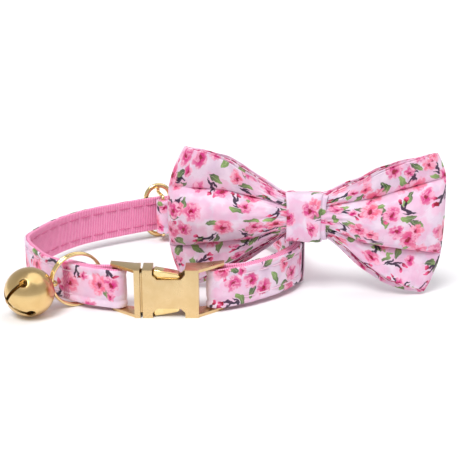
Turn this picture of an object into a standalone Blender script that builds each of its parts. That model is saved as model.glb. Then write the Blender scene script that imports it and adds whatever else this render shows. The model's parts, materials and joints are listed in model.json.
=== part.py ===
"""Cat bow collar: a closed strap loop with buckle, bell, slide adjuster and bow.

The collar stands on its edge. +X runs from the bell to the bow, +Y from the buckle to the back,
+Z is up, and the origin is under the middle of the whole collar. All sizes are in metres.
"""
import math

import bmesh
import bpy
from mathutils import Matrix, Vector

# General fit
GAP = 0.0003

# Strap: woven webbing with a printed cotton cover on its outer face
WEBBING_WIDTH = 0.0100
WEBBING_THICK = 0.0010
COVER_WIDTH = 0.0095
COVER_THICK = 0.0010
LOOP_CENTRE_X = -0.01695
LOOP_CENTRE_Y = 0.0030
LOOP_HALF_WIDTH = 0.03635
LOOP_HALF_DEPTH = 0.0317
LIFT_AT_SLIDER = 0.0027
TAB_LENGTH = 0.0060
FOLD_EASE = 0.0070
RIBBON_STEP = 0.0024
WEBBING_TAIL = 0.0015
COVER_SETBACK = 0.0005

# Outer face of the strap loop seen from above, counter-clockwise from the front
# columns: across (share of LOOP_HALF_WIDTH), back (share of LOOP_HALF_DEPTH)
LOOP_OUTLINE = (
    (0.060, -1.010),
    (0.414, -0.968),
    (0.648, -0.811),
    (0.829, -0.640),
    (0.961, -0.432),
    (1.000, -0.218),
    (0.981, 0.098),
    (0.860, 0.476),
    (0.637, 0.792),
    (0.307, 0.978),
    (-0.098, 0.912),
    (-0.400, 0.729),
    (-0.706, 0.476),
    (-0.937, 0.066),
    (-0.997, -0.170),
    (-0.884, -0.492),
    (-0.777, -0.662),
    (-0.596, -0.811),
    (-0.310, -0.965),
)

# Buckle
BUCKLE_HEIGHT = 0.0121
BUCKLE_DEPTH = 0.0057
BUCKLE_FRONT_Y = -0.0307
SHEET = 0.00075
SOCKET_LEFT_X = -0.0204
SOCKET_LENGTH = 0.01345
HEAD_LENGTH = 0.0014
HEAD_GAP = 0.0006
BAR_RADIUS = 0.0007
BAR_REACH_LEFT = 0.0050
BAR_REACH_RIGHT = 0.00505
ARM_OVERHANG = 0.0010
NOTCH_START = 0.0024
NOTCH_LENGTH = 0.0078
NOTCH_DEPTH = 0.0024
NOTCH_CORNER = 0.0011
CHEEK_THICK = 0.0005
CHEEK_REACH = 0.0022
TONGUE_REACH = 0.0100
TONGUE_HEIGHT = 0.0017
PIN_RADIUS = 0.0004

# Squeeze levers
LEVER_ROOT_RADIUS = 0.0012
LEVER_REACH = 0.0088
LEVER_PIVOT_X = 0.0011
LEVER_PIVOT_DROP = 0.0030
LEVER_BARB_START = 0.0026
LEVER_BARB_RISE = 0.0026
LEVER_TIP_RISE = 0.0014
LEVER_TIP_THICK = 0.0010

# Slide adjuster
SLIDER_HEIGHT = 0.0162
SLIDER_WIDTH = 0.0086
SLIDER_WIRE = 0.0014
SLIDER_BAR_WIRE = 0.0010
SLIDER_X = -0.0204

# Split ring
RING_RADIUS = 0.0069
RING_WIRE = 0.0008
RING_TURN_GAP = 0.0001
RING_FROM_BAR = 0.0104
RING_SKEW_DEG = -29.43
RING_SEGMENTS = 26

# Bell
BELL_RADIUS = 0.00605
BELL_WALL = 0.0005
BELL_CROWN = 0.0052
BELL_TILT = 0.12
BELL_YAW_DEG = 36.0
SLOT_WIDTH = 0.0009
SLOT_END_RADIUS = 0.0011
SLOT_END_DEG = 66.0
SLOT_TURN_DEG = 38.5
EYELET_WIRE = 0.0007
EYELET_INNER_WIDTH = 0.0026
EYELET_INNER_DEPTH = 0.0015
PELLET_RADIUS = 0.0016

# Bow
BOW_IN_FROM_SIDE = 0.0003
BOW_X = LOOP_CENTRE_X + LOOP_HALF_WIDTH - BOW_IN_FROM_SIDE
BOW_Y = -0.0126
BOW_YAW_DEG = -5.0
BOW_LEAN_DEG = 4.0
BOW_CLOTH = 0.0010
WING_LENGTH = 0.0344
WING_HALF_HEIGHT = 0.0182
WING_EDGE_BULGE = 0.0034
WING_HALF_DEPTH = 0.0040
WING_DROP = 0.0031
PLEAT_DEPTH = 0.0027
PLEAT_SPREAD = 0.15
KNOT_Z = 0.0214
KNOT_WIDTH = 0.0092
KNOT_HEIGHT = 0.0140
KNOT_DEPTH = 0.0086
KNOT_CORNER = 0.0022

# Columns: out (share of WING_LENGTH), tall (share of WING_HALF_HEIGHT),
# deep (share of WING_HALF_DEPTH), pleat (share of PLEAT_DEPTH)
WING_SECTIONS = (
    (0.00, 0.285, 0.36, 0.25),
    (0.14, 0.300, 0.40, 0.40),
    (0.27, 0.450, 0.72, 0.90),
    (0.42, 0.650, 1.00, 1.00),
    (0.64, 0.880, 1.05, 0.85),
    (0.85, 0.985, 0.80, 0.55),
    (0.96, 1.000, 0.42, 0.30),
    (1.00, 1.000, 0.16, 0.10),
)
# Pleat valleys, columns: height share at the knot, height share at the wing's outer edge
PLEAT_VALLEYS = ((0.53, 0.52), (-0.50, -0.34))

# Elastic loop behind the knot
ELASTIC_THICK = 0.0009
ELASTIC_WIDTH = 0.0034
ELASTIC_CORNER = 0.0016
ELASTIC_TOP_Z = 0.0236
ELASTIC_BOTTOM_Z = 0.0002


def clear_scene():
    """Remove whatever the file holds."""
    for obj in list(bpy.data.objects):
        bpy.data.objects.remove(obj, do_unlink=True)


def material(name, colour, roughness, metallic=0.0):
    """A plain finish for one kind of piece."""
    mat = bpy.data.materials.new(name)
    mat.use_nodes = True
    shader = mat.node_tree.nodes["Principled BSDF"]
    shader.inputs["Base Color"].default_value = (*colour, 1.0)
    shader.inputs["Roughness"].default_value = roughness
    shader.inputs["Metallic"].default_value = metallic
    return mat


def webbing_finish():
    return material("pink_webbing", (0.87, 0.23, 0.43), 0.75)


def print_finish():
    return material("printed_cotton", (0.93, 0.72, 0.82), 0.8)


def gold_finish(name="gold_plate"):
    return material(name, (0.83, 0.62, 0.33), 0.28, 1.0)


def elastic_finish():
    return material("white_elastic", (0.85, 0.82, 0.84), 0.8)


def new_object(name, mesh, finish):
    """Link a mesh as a named object with its finish, round faces shaded smooth."""
    obj = bpy.data.objects.new(name, mesh)
    bpy.context.scene.collection.objects.link(obj)
    if finish is not None:
        mesh.materials.append(finish)
    mesh.shade_smooth()
    mesh.set_sharp_from_angle(angle=math.radians(35.0))
    return obj


def mesh_from(name, verts, faces):
    """A mesh from vertices and faces, with its faces turned outwards."""
    mesh = bpy.data.meshes.new(name)
    mesh.from_pydata([tuple(v) for v in verts], [], faces)
    bm = bmesh.new()
    bm.from_mesh(mesh)
    bmesh.ops.recalc_face_normals(bm, faces=bm.faces)
    bm.to_mesh(mesh)
    bm.free()
    return mesh


def tool_object(name, mesh):
    """A hidden shape that only cuts or joins others."""
    obj = new_object(name, mesh, None)
    obj.hide_render = True
    obj.display_type = "WIRE"
    return obj


def add_boolean(obj, tool, operation):
    mod = obj.modifiers.new(tool.name, "BOOLEAN")
    mod.operation = operation
    mod.object = tool
    mod.solver = "EXACT"


def prism(name, outline, axis, low, high):
    """Extrude a closed outline between two planes square to an axis (0, 1 or 2)."""
    others = [i for i in range(3) if i != axis]
    verts = []
    for level in (low, high):
        for a, b in outline:
            v = [0.0, 0.0, 0.0]
            v[axis] = level
            v[others[0]] = a
            v[others[1]] = b
            verts.append(v)
    n = len(outline)
    faces = [tuple(range(n)), tuple(range(n, 2 * n))]
    faces += [(i, (i + 1) % n, n + (i + 1) % n, n + i) for i in range(n)]
    return mesh_from(name, verts, faces)


def box(name, low, high):
    outline = ((low[0], low[1]), (high[0], low[1]), (high[0], high[1]), (low[0], high[1]))
    return prism(name, outline, 2, low[2], high[2])


def disc_outline(cx, cy, radius, sides=12):
    return [(cx + radius * math.cos(2 * math.pi * i / sides),
             cy + radius * math.sin(2 * math.pi * i / sides)) for i in range(sides)]


def tube(name, path, radius, sides, closed, up):
    """Sweep a round wire along a path; up is a vector that is never along the path."""
    verts = []
    count = len(path)
    for i, p in enumerate(path):
        before = path[i - 1] if (closed or i > 0) else p
        after = path[(i + 1) % count] if (closed or i < count - 1) else p
        along = (after - before).normalized()
        side = up.cross(along).normalized()
        top = along.cross(side)
        for k in range(sides):
            a = 2 * math.pi * (k + 0.5) / sides
            verts.append(p + radius * (math.cos(a) * side + math.sin(a) * top))
    faces = []
    for i in range(count if closed else count - 1):
        j = (i + 1) % count
        for k in range(sides):
            m = (k + 1) % sides
            faces.append((i * sides + k, i * sides + m, j * sides + m, j * sides + k))
    if not closed:
        faces.append(tuple(range(sides)))
        faces.append(tuple(range((count - 1) * sides, count * sides)))
    return mesh_from(name, verts, faces)


def ease(t):
    """Smooth step from 0 to 1."""
    t = min(1.0, max(0.0, t))
    return t * t * (3.0 - 2.0 * t)


def lookup(rows, column, value):
    """Read a column of a table at a value of its first column, with smooth steps between rows."""
    for a, b in zip(rows, rows[1:]):
        if value <= b[0]:
            t = (value - a[0]) / (b[0] - a[0])
            return a[column] + (b[column] - a[column]) * t
    return rows[-1][column]


class StrapLine:
    """The strap's outer face seen from above, with places on it given by length."""

    SAMPLES = 24
    REACH = 0.0012

    def __init__(self):
        corners = [Vector((LOOP_CENTRE_X + a * LOOP_HALF_WIDTH, LOOP_CENTRE_Y + b * LOOP_HALF_DEPTH))
                   for a, b in LOOP_OUTLINE]
        self.points = []
        n = len(corners)
        for i in range(n):
            p0, p1, p2, p3 = (corners[(i + k) % n] for k in (-1, 0, 1, 2))
            d0, d1, d2 = (p1 - p0).length, (p2 - p1).length, (p3 - p2).length
            m1 = d1 * ((p1 - p0) / d0 * d1 + (p2 - p1) / d1 * d0) / (d0 + d1)
            m2 = d1 * ((p2 - p1) / d1 * d2 + (p3 - p2) / d2 * d1) / (d1 + d2)
            for k in range(self.SAMPLES):
                t = k / self.SAMPLES
                h1 = 2 * t ** 3 - 3 * t ** 2 + 1
                h2 = t ** 3 - 2 * t ** 2 + t
                h3 = 3 * t ** 2 - 2 * t ** 3
                h4 = t ** 3 - t ** 2
                self.points.append(h1 * p1 + h2 * m1 + h3 * p2 + h4 * m2)
        self.lengths = [0.0]
        for a, b in zip(self.points, self.points[1:] + self.points[:1]):
            self.lengths.append(self.lengths[-1] + (b - a).length)
        self.total = self.lengths[-1]

    def _raw(self, s):
        s = s % self.total
        low, high = 0, len(self.points)
        while high - low > 1:
            mid = (low + high) // 2
            if self.lengths[mid] <= s:
                low = mid
            else:
                high = mid
        a = self.points[low]
        b = self.points[(low + 1) % len(self.points)]
        t = (s - self.lengths[low]) / (self.lengths[low + 1] - self.lengths[low])
        return a.lerp(b, t)

    def along(self, s):
        """Unit direction of the strap at a length."""
        return (self._raw(s + self.REACH) - self._raw(s - self.REACH)).normalized()

    def inward(self, s):
        """Unit direction into the loop at a length."""
        t = self.along(s)
        return Vector((-t.y, t.x))

    def at(self, s, depth):
        """Point at a length, a depth inside the outer face."""
        return self._raw(s) + self.inward(s) * depth

    def find_x(self, x, depth, low, high):
        """Length between two shares of the loop at which the line, a depth inside, has this x."""
        best, best_error = 0.0, 1.0
        steps = 600
        for i in range(steps + 1):
            s = self.total * (low + (high - low) * i / steps)
            error = abs(self.at(s, depth).x - x)
            if error < best_error:
                best, best_error = s, error
        return best


LINE = StrapLine()
LAYER = WEBBING_THICK + COVER_THICK + GAP
BAR_DEPTH = LAYER + GAP + BAR_RADIUS
HEAD_LEFT_X = SOCKET_LEFT_X - HEAD_GAP - HEAD_LENGTH
SOCKET_RIGHT_X = SOCKET_LEFT_X + SOCKET_LENGTH
BUCKLE_BACK_Y = BUCKLE_FRONT_Y + BUCKLE_DEPTH
RIGHT_BAR_S = LINE.find_x(SOCKET_RIGHT_X + BAR_REACH_RIGHT, BAR_DEPTH, 0.02, 0.15)
LEFT_BAR_S = LINE.find_x(HEAD_LEFT_X - BAR_REACH_LEFT, BAR_DEPTH, 0.85, 0.98)
SLIDER_S = LINE.find_x(SLIDER_X, 0.0, 0.50, 0.66)
RING_S = LEFT_BAR_S - RING_FROM_BAR
LIFT_AT_BUCKLE = (BUCKLE_HEIGHT - WEBBING_WIDTH) / 2
SLIDER_BAR_DEPTH = LAYER + GAP + WEBBING_THICK + GAP + SLIDER_BAR_WIRE / 2


def lift(s):
    """Height of the webbing's lower edge: low at the buckle, raised by the adjuster."""
    if s <= SLIDER_S:
        t = (s - RIGHT_BAR_S) / (SLIDER_S - RIGHT_BAR_S)
    else:
        t = (LEFT_BAR_S - s) / (LEFT_BAR_S - SLIDER_S)
    t = min(1.0, max(0.0, t))
    return LIFT_AT_BUCKLE + (LIFT_AT_SLIDER - LIFT_AT_BUCKLE) * t ** 0.8


def run(s_from, s_to, depth_at):
    """Middle line of a strap layer between two lengths: (point, length) pairs."""
    steps = max(2, round(abs(s_to - s_from) / RIBBON_STEP))
    out = []
    for i in range(steps + 1):
        s = s_from + (s_to - s_from) * i / steps
        out.append((LINE.at(s, depth_at(s)), s))
    return out


def fold(s_bar, bar_depth, radius, sense, steps=8):
    """Half turn round a bar. Sense 1 goes from the outer layer on, -1 comes to it."""
    centre = LINE.at(s_bar, bar_depth)
    inward = LINE.inward(s_bar)
    along = LINE.along(s_bar) * sense
    out = []
    for i in range(1, steps):
        a = math.pi * i / steps
        out.append((centre - radius * (math.cos(a) * inward - math.sin(a) * along), s_bar))
    return out


def ribbon(name, line, width, thick, finish):
    """A flat strip on edge along a line, its width upright."""
    verts = []
    points = [p for p, s in line]
    for i, (p, s) in enumerate(line):
        before = points[max(0, i - 1)]
        after = points[min(len(points) - 1, i + 1)]
        along = (after - before).normalized()
        side = Vector((-along.y, along.x)) * (thick / 2)
        low = lift(s) + (WEBBING_WIDTH - width) / 2
        for z in (low, low + width):
            for q in (p + side, p - side):
                verts.append((q.x, q.y, z))
    faces = [(0, 1, 3, 2)]
    for i in range(len(line) - 1):
        a, b = 4 * i, 4 * i + 4
        for k, m in ((0, 1), (1, 3), (3, 2), (2, 0)):
            faces.append((a + k, a + m, b + m, b + k))
    end = 4 * (len(line) - 1)
    faces.append((end, end + 1, end + 3, end + 2))
    return new_object(name, mesh_from(name, verts, faces), finish)


def strap_line(outer_depth, inner_depth, tail):
    """One strip's middle line: slider end, right inner run, fold, outer run, fold, sewn tab."""
    radius = BAR_DEPTH - outer_depth
    at_bar = BAR_DEPTH + radius
    at_slider = 2 * SLIDER_BAR_DEPTH - (LAYER + GAP + WEBBING_THICK / 2)
    at_slider += inner_depth - (LAYER + GAP + WEBBING_THICK / 2)

    def right_inner(s):
        near_bar = 1.0 - ease((s - RIGHT_BAR_S) / FOLD_EASE)
        near_slider = 1.0 - ease((SLIDER_S - s) / FOLD_EASE)
        return inner_depth + (at_bar - inner_depth) * near_bar + (at_slider - inner_depth) * near_slider

    def tab_inner(s):
        return at_bar + (inner_depth - at_bar) * ease((LEFT_BAR_S - s) / FOLD_EASE)

    line = []
    if tail > 0.0:
        line += run(SLIDER_S - tail, SLIDER_S, lambda s: inner_depth)
        line += fold(SLIDER_S, SLIDER_BAR_DEPTH, SLIDER_BAR_DEPTH - inner_depth, 1)
        line += run(SLIDER_S, RIGHT_BAR_S, right_inner)
    else:
        line += run(SLIDER_S + tail, RIGHT_BAR_S, right_inner)
    line += reversed(fold(RIGHT_BAR_S, BAR_DEPTH, radius, -1))
    line += run(RIGHT_BAR_S, LEFT_BAR_S, lambda s: outer_depth)
    line += fold(LEFT_BAR_S, BAR_DEPTH, radius, 1)
    line += run(LEFT_BAR_S, LEFT_BAR_S - TAB_LENGTH, tab_inner)
    return line


def strap_webbing():
    """The woven strip that carries the load, wrapped on the adjuster's bar."""
    outer = COVER_THICK + GAP + WEBBING_THICK / 2
    inner = LAYER + GAP + WEBBING_THICK / 2
    line = strap_line(outer, inner, WEBBING_TAIL)
    return ribbon("strap_webbing", line, WEBBING_WIDTH, WEBBING_THICK, webbing_finish())


def strap_cover():
    """The printed strip on the webbing's outer face, folded round the bars with it."""
    outer = COVER_THICK / 2
    inner = LAYER + GAP + WEBBING_THICK + GAP + COVER_THICK / 2
    line = strap_line(outer, inner, -COVER_SETBACK)
    return ribbon("strap_cover", line, COVER_WIDTH, COVER_THICK, print_finish())


def buckle_arms(name, side_x, bar, outwards):
    """Two bent-back flange arms and the strap bar between them, as joining tools."""
    end_x = bar.x + outwards * ARM_OVERHANG
    root_x = side_x - outwards * SHEET
    outline = (
        (root_x, BUCKLE_FRONT_Y + SHEET / 2),
        (side_x, BUCKLE_FRONT_Y + SHEET / 2),
        (end_x, bar.y - ARM_OVERHANG),
        (end_x, bar.y + ARM_OVERHANG),
        (side_x, BUCKLE_BACK_Y),
        (root_x, BUCKLE_BACK_Y),
    )
    tools = []
    for level, low in (("low", 0.0), ("high", BUCKLE_HEIGHT - SHEET)):
        tools.append(tool_object(name + "_arm_" + level, prism(name, outline, 2, low, low + SHEET)))
    rod = prism(name, disc_outline(bar.x, bar.y, BAR_RADIUS), 2, SHEET / 2, BUCKLE_HEIGHT - SHEET / 2)
    tools.append(tool_object(name + "_bar", rod))
    return tools


def notch_outline(top):
    """Side outline of a lever notch in the socket, from above (top) or below."""
    left = SOCKET_LEFT_X + NOTCH_START
    right = left + NOTCH_LENGTH
    edge = BUCKLE_HEIGHT + GAP if top else -GAP
    corner = BUCKLE_HEIGHT - NOTCH_DEPTH + NOTCH_CORNER if top else NOTCH_DEPTH - NOTCH_CORNER
    floor = BUCKLE_HEIGHT - NOTCH_DEPTH if top else NOTCH_DEPTH
    return ((left, edge), (left, corner), (left + NOTCH_CORNER, floor),
            (right - NOTCH_CORNER, floor), (right, corner), (right, edge))


def buckle_socket(finish):
    """The notched, hollow body that takes the plug, with its arms and strap bar."""
    name = "buckle_socket"
    body = new_object(name, box(name, (SOCKET_LEFT_X, BUCKLE_FRONT_Y, 0.0),
                                (SOCKET_RIGHT_X, BUCKLE_BACK_Y, BUCKLE_HEIGHT)), finish)
    hollow = box(name, (SOCKET_LEFT_X - GAP, BUCKLE_FRONT_Y + SHEET, SHEET),
                 (SOCKET_RIGHT_X - SHEET, BUCKLE_BACK_Y - SHEET, BUCKLE_HEIGHT - SHEET))
    add_boolean(body, tool_object("socket_hollow", hollow), "DIFFERENCE")
    for label, top in (("high", True), ("low", False)):
        cut = prism(name, notch_outline(top), 1, BUCKLE_FRONT_Y - GAP, BUCKLE_BACK_Y + GAP)
        add_boolean(body, tool_object("socket_notch_" + label, cut), "DIFFERENCE")
    bar = LINE.at(RIGHT_BAR_S, BAR_DEPTH)
    for tool in buckle_arms("socket", SOCKET_RIGHT_X, bar, 1.0):
        add_boolean(body, tool, "UNION")
    return body


def pivot_places():
    """Pivot of the upper and the lower lever: (x, z, sense of the squeeze side)."""
    x = SOCKET_LEFT_X + LEVER_PIVOT_X
    return ((x, BUCKLE_HEIGHT - LEVER_PIVOT_DROP, 1.0), (x, LEVER_PIVOT_DROP, -1.0))


def buckle_plug(finish):
    """The head plate with arms and bar, its tongue, and the cheeks that hold the levers' pins."""
    name = "buckle_plug"
    head_right = HEAD_LEFT_X + HEAD_LENGTH
    body = new_object(name, box(name, (HEAD_LEFT_X, BUCKLE_FRONT_Y, 0.0),
                                (head_right, BUCKLE_BACK_Y, BUCKLE_HEIGHT)), finish)
    middle_z = BUCKLE_HEIGHT / 2
    inner_front = BUCKLE_FRONT_Y + SHEET + GAP
    inner_back = BUCKLE_BACK_Y - SHEET - GAP
    low_z = SHEET + GAP
    high_z = BUCKLE_HEIGHT - SHEET - GAP
    reach = SOCKET_LEFT_X + CHEEK_REACH
    root = head_right - SHEET / 2
    for label, y in (("front", inner_front), ("back", inner_back - CHEEK_THICK)):
        cheek = box(name, (root, y, low_z), (reach, y + CHEEK_THICK, high_z))
        add_boolean(body, tool_object("plug_cheek_" + label, cheek), "UNION")
    tongue = box(name, (root, inner_front + CHEEK_THICK / 2, middle_z - TONGUE_HEIGHT / 2),
                 (SOCKET_LEFT_X + TONGUE_REACH, inner_back - CHEEK_THICK / 2, middle_z + TONGUE_HEIGHT / 2))
    add_boolean(body, tool_object("plug_tongue", tongue), "UNION")
    for i, (x, z, sense) in enumerate(pivot_places()):
        pin = prism(name, disc_outline(x, z, PIN_RADIUS, 8), 1,
                    inner_front + CHEEK_THICK / 2, inner_back - CHEEK_THICK / 2)
        add_boolean(body, tool_object("plug_pin_%d" % i, pin), "UNION")
    bar = LINE.at(LEFT_BAR_S, BAR_DEPTH)
    for tool in buckle_arms("plug", HEAD_LEFT_X, bar, -1.0):
        add_boolean(body, tool, "UNION")
    return body


def levers(finish):
    """The two squeeze levers, each turning on its pin, with its barb in the notch."""
    front = BUCKLE_FRONT_Y + SHEET + GAP + CHEEK_THICK + GAP
    back = BUCKLE_BACK_Y - SHEET - GAP - CHEEK_THICK - GAP
    r = LEVER_ROOT_RADIUS
    for name, (x, z, sense) in zip(("lever_upper", "lever_lower"), pivot_places()):
        profile = [(r * math.cos(a), r * math.sin(a))
                   for a in (math.pi * (0.5 + i / 6) for i in range(7))]
        profile += [
            (LEVER_REACH, LEVER_TIP_RISE - LEVER_TIP_THICK),
            (LEVER_REACH, LEVER_TIP_RISE),
            (LEVER_BARB_START, LEVER_BARB_RISE),
            (LEVER_BARB_START, r),
        ]
        mesh = prism(name, [(a, sense * b) for a, b in profile], 1, front, back)
        lever = new_object(name, mesh, finish)
        lever.location = (x, 0.0, z)
        hole = prism(name, disc_outline(x, z, PIN_RADIUS + GAP, 12), 1, front - GAP, back + GAP)
        add_boolean(lever, tool_object(name + "_hole", hole), "DIFFERENCE")


def slider(finish):
    """Oval wire frame outside the strap, and the bar inside it that holds the strap's end."""
    wire = SLIDER_WIRE / 2
    half_w = SLIDER_WIDTH / 2 - wire
    half_h = SLIDER_HEIGHT / 2 - wire
    centre = LINE.at(SLIDER_S, -(GAP + wire))
    inner = LINE.at(SLIDER_S, SLIDER_BAR_DEPTH)
    along = LINE.along(SLIDER_S).to_3d()
    mid_z = SLIDER_HEIGHT / 2
    path = []
    arc = 9
    for sense in (1.0, -1.0):
        for i in range(arc + 1):
            a = math.pi * i / arc
            path.append(centre.to_3d() + sense * (math.cos(a) * half_w) * along
                        + Vector((0, 0, mid_z + sense * (half_h - half_w + math.sin(a) * half_w))))
    out = LINE.inward(SLIDER_S).to_3d()
    frame = new_object("slider", tube("slider", path, wire, 8, True, out), finish)
    bend = SLIDER_BAR_WIRE
    top = mid_z + half_h
    low = mid_z - half_h
    start = centre.to_3d()
    end = inner.to_3d()
    toward = (end - start).normalized()
    bar = [start + Vector((0, 0, top)), end - toward * bend + Vector((0, 0, top)),
           end - toward * bend * 0.3 + Vector((0, 0, top - bend * 0.3)), end + Vector((0, 0, top - bend)),
           end + Vector((0, 0, low + bend)), end - toward * bend * 0.3 + Vector((0, 0, low + bend * 0.3)),
           end - toward * bend + Vector((0, 0, low)), start + Vector((0, 0, low))]
    rod = tool_object("slider_bar", tube("slider_bar", bar, SLIDER_BAR_WIRE / 2, 8, False, along))
    add_boolean(frame, rod, "UNION")
    return frame


def ring_frame():
    """Centre of the split ring, its level direction and its axis."""
    centre = LINE.at(RING_S, LAYER / 2).to_3d() + Vector((0, 0, RING_RADIUS))
    inward = LINE.inward(RING_S)
    turn = math.atan2(inward.y, inward.x) + math.radians(RING_SKEW_DEG)
    level = Vector((math.cos(turn), math.sin(turn), 0.0))
    return centre, level, Vector((-level.y, level.x, 0.0))


def split_ring(finish):
    """Two flat turns of wire joined by a short crossing."""
    centre, level, axis = ring_frame()
    radius = RING_RADIUS - RING_WIRE / 2
    pitch = RING_WIRE + RING_TURN_GAP
    path = []
    steps = 2 * RING_SEGMENTS
    for i in range(steps):
        turns = 2.0 * i / steps
        angle = 2 * math.pi * turns
        crossing = ease((turns - 0.93) / 0.14)
        spot = centre + radius * (math.cos(angle) * level + Vector((0, 0, math.sin(angle))))
        path.append(spot + axis * pitch * (crossing - 0.5))
    return new_object("split_ring", tube("split_ring", path, RING_WIRE / 2, 6, False, axis), finish)


def bell_frame():
    """The bell's centre and its directions: to the crown, level across, and up across."""
    centre, level, axis = ring_frame()
    hook = centre - level * (RING_RADIUS - RING_WIRE / 2)
    yaw = math.radians(BELL_YAW_DEG)
    crown = Vector((math.cos(yaw), math.sin(yaw), BELL_TILT)).normalized()
    middle = hook - crown * (BELL_CROWN + EYELET_INNER_DEPTH / 2)
    middle.z = BELL_RADIUS
    crown = (hook - middle).normalized()
    across = Vector((0, 0, 1)).cross(crown).normalized()
    return middle, crown, across, crown.cross(across)


def bell_profile(radius, crown, rows=9):
    """Half outline from apex to crown: (along the axis, out from it), the crown end flattened."""
    flat = math.asin(crown / radius)
    return [(radius * math.sin(a), radius * math.cos(a))
            for a in (-math.pi / 2 + (flat + math.pi / 2) * i / rows for i in range(rows + 1))]


def turned(name, profile, frame, sides=18):
    """Turn a half outline about the crown axis; its first point lies on the axis."""
    middle, crown, across, up = frame
    verts = [middle + crown * profile[0][0]]
    for along, out in profile[1:]:
        for k in range(sides):
            a = 2 * math.pi * (k + 0.5) / sides
            verts.append(middle + crown * along + out * (math.cos(a) * across + math.sin(a) * up))
    faces = [(0, 1 + (k + 1) % sides, 1 + k) for k in range(sides)]
    for i in range(len(profile) - 2):
        base = 1 + i * sides
        for k in range(sides):
            m = (k + 1) % sides
            faces.append((base + k, base + m, base + sides + m, base + sides + k))
    last = 1 + (len(profile) - 2) * sides
    faces.append(tuple(range(last, last + sides)))
    return mesh_from(name, verts, faces)


def placed(mesh, frame, turn_deg):
    """Move a mesh from the bell's own axes (x to the crown) into place, turned about the crown."""
    middle, crown, across, up = frame
    basis = Matrix((crown, across, up)).transposed().to_4x4()
    mesh.transform(Matrix.Translation(middle) @ basis @ Matrix.Rotation(math.radians(turn_deg), 4, "X"))
    return mesh


def bell_shell(finish):
    """Thin round shell with four slots that meet at its apex, and the eyelet on its crown."""
    frame = bell_frame()
    shell = new_object("bell_shell", turned("bell_shell", bell_profile(BELL_RADIUS, BELL_CROWN), frame), finish)
    hollow = turned("bell_hollow", bell_profile(BELL_RADIUS - BELL_WALL, BELL_CROWN - BELL_WALL), frame)
    add_boolean(shell, tool_object("bell_hollow", hollow), "DIFFERENCE")
    end = math.radians(SLOT_END_DEG)
    far = BELL_RADIUS * 1.2
    edge = -BELL_RADIUS * math.cos(end)
    reach = BELL_RADIUS * math.sin(end)
    for i, turn in enumerate((SLOT_TURN_DEG, SLOT_TURN_DEG + 90.0)):
        slot = box("bell_slot", (-far, -reach, -SLOT_WIDTH / 2), (edge, reach, SLOT_WIDTH / 2))
        add_boolean(shell, tool_object("bell_slot_%d" % i, placed(slot, frame, turn)), "DIFFERENCE")
    for i in range(4):
        hole = prism("bell_hole", disc_outline(0.0, 0.0, SLOT_END_RADIUS, 10), 2, BELL_RADIUS * 0.6, far)
        hole.transform(Matrix.Rotation(-(math.pi / 2 - end), 4, "Y"))
        placed(hole, frame, SLOT_TURN_DEG + 90.0 * i)
        add_boolean(shell, tool_object("bell_hole_%d" % i, hole), "DIFFERENCE")
    middle, crown, across, up = frame
    half = (EYELET_INNER_WIDTH + EYELET_WIRE) / 2
    base = BELL_CROWN - BELL_WALL * 0.6
    top = BELL_CROWN + EYELET_INNER_DEPTH + EYELET_WIRE / 2
    corner = half * 0.45
    spots = ((base, -half), (top - corner, -half), (top - corner * 0.3, -half + corner * 0.3),
             (top, -half + corner), (top, half - corner), (top - corner * 0.3, half - corner * 0.3),
             (top - corner, half), (base, half))
    path = [middle + crown * a + across * b for a, b in spots]
    loop = tube("bell_eyelet", path, EYELET_WIRE / 2, 6, False, up)
    add_boolean(shell, tool_object("bell_eyelet", loop), "UNION")
    return shell


def bell_pellet(finish):
    """The loose ball that rings, lying on the bottom of the shell."""
    middle = bell_frame()[0]
    bm = bmesh.new()
    bmesh.ops.create_icosphere(bm, subdivisions=2, radius=PELLET_RADIUS)
    mesh = bpy.data.meshes.new("bell_pellet")
    bm.to_mesh(mesh)
    bm.free()
    drop = BELL_RADIUS - BELL_WALL - PELLET_RADIUS - GAP
    mesh.transform(Matrix.Translation(middle - Vector((0, 0, drop))))
    return new_object("bell_pellet", mesh, finish)


def bow_matrix():
    """Place of the bow: its own origin is under the knot, +Y to its back."""
    return (Matrix.Translation((BOW_X, BOW_Y, 0.0)) @ Matrix.Rotation(math.radians(BOW_YAW_DEG), 4, "Z")
            @ Matrix.Translation((0, 0, KNOT_Z)) @ Matrix.Rotation(math.radians(BOW_LEAN_DEG), 4, "X")
            @ Matrix.Translation((0, 0, -KNOT_Z)))


def wing_point(out, up, face):
    """Middle of the cloth: out is -1 to 1 across the bow, up is -1 to 1, face -1 front or 1 back."""
    share = abs(out)
    tall = lookup(WING_SECTIONS, 1, share) * WING_HALF_HEIGHT
    deep = lookup(WING_SECTIONS, 2, share) * WING_HALF_DEPTH
    pleat = lookup(WING_SECTIONS, 3, share) * PLEAT_DEPTH
    groove = 0.0
    for at_knot, at_edge in PLEAT_VALLEYS:
        valley = at_knot + (at_edge - at_knot) * share
        groove = max(groove, 1.0 - abs(up - valley) / PLEAT_SPREAD)
    depth = max(deep - pleat * ease(groove), min(deep, BOW_CLOTH / 2 + GAP))
    bulge = WING_EDGE_BULGE * share ** 3 * up * up
    x = math.copysign(share * WING_LENGTH - bulge, out)
    z = KNOT_Z - WING_DROP * share ** 1.5 + up * tall
    return Vector((x, face * depth, z))


def wing_loop():
    """Places round the closed band seen from above: (out, face) pairs."""
    shares = (0.0, 0.07, 0.14, 0.20, 0.27, 0.34, 0.42, 0.53, 0.64, 0.75, 0.85, 0.93, 0.98)
    right = [(s, -1.0) for s in shares] + [(1.0, 0.0)] + [(s, 1.0) for s in reversed(shares)]
    left = [(-s, f) for s, f in reversed(right)]
    return right + left[1:-1]


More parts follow.
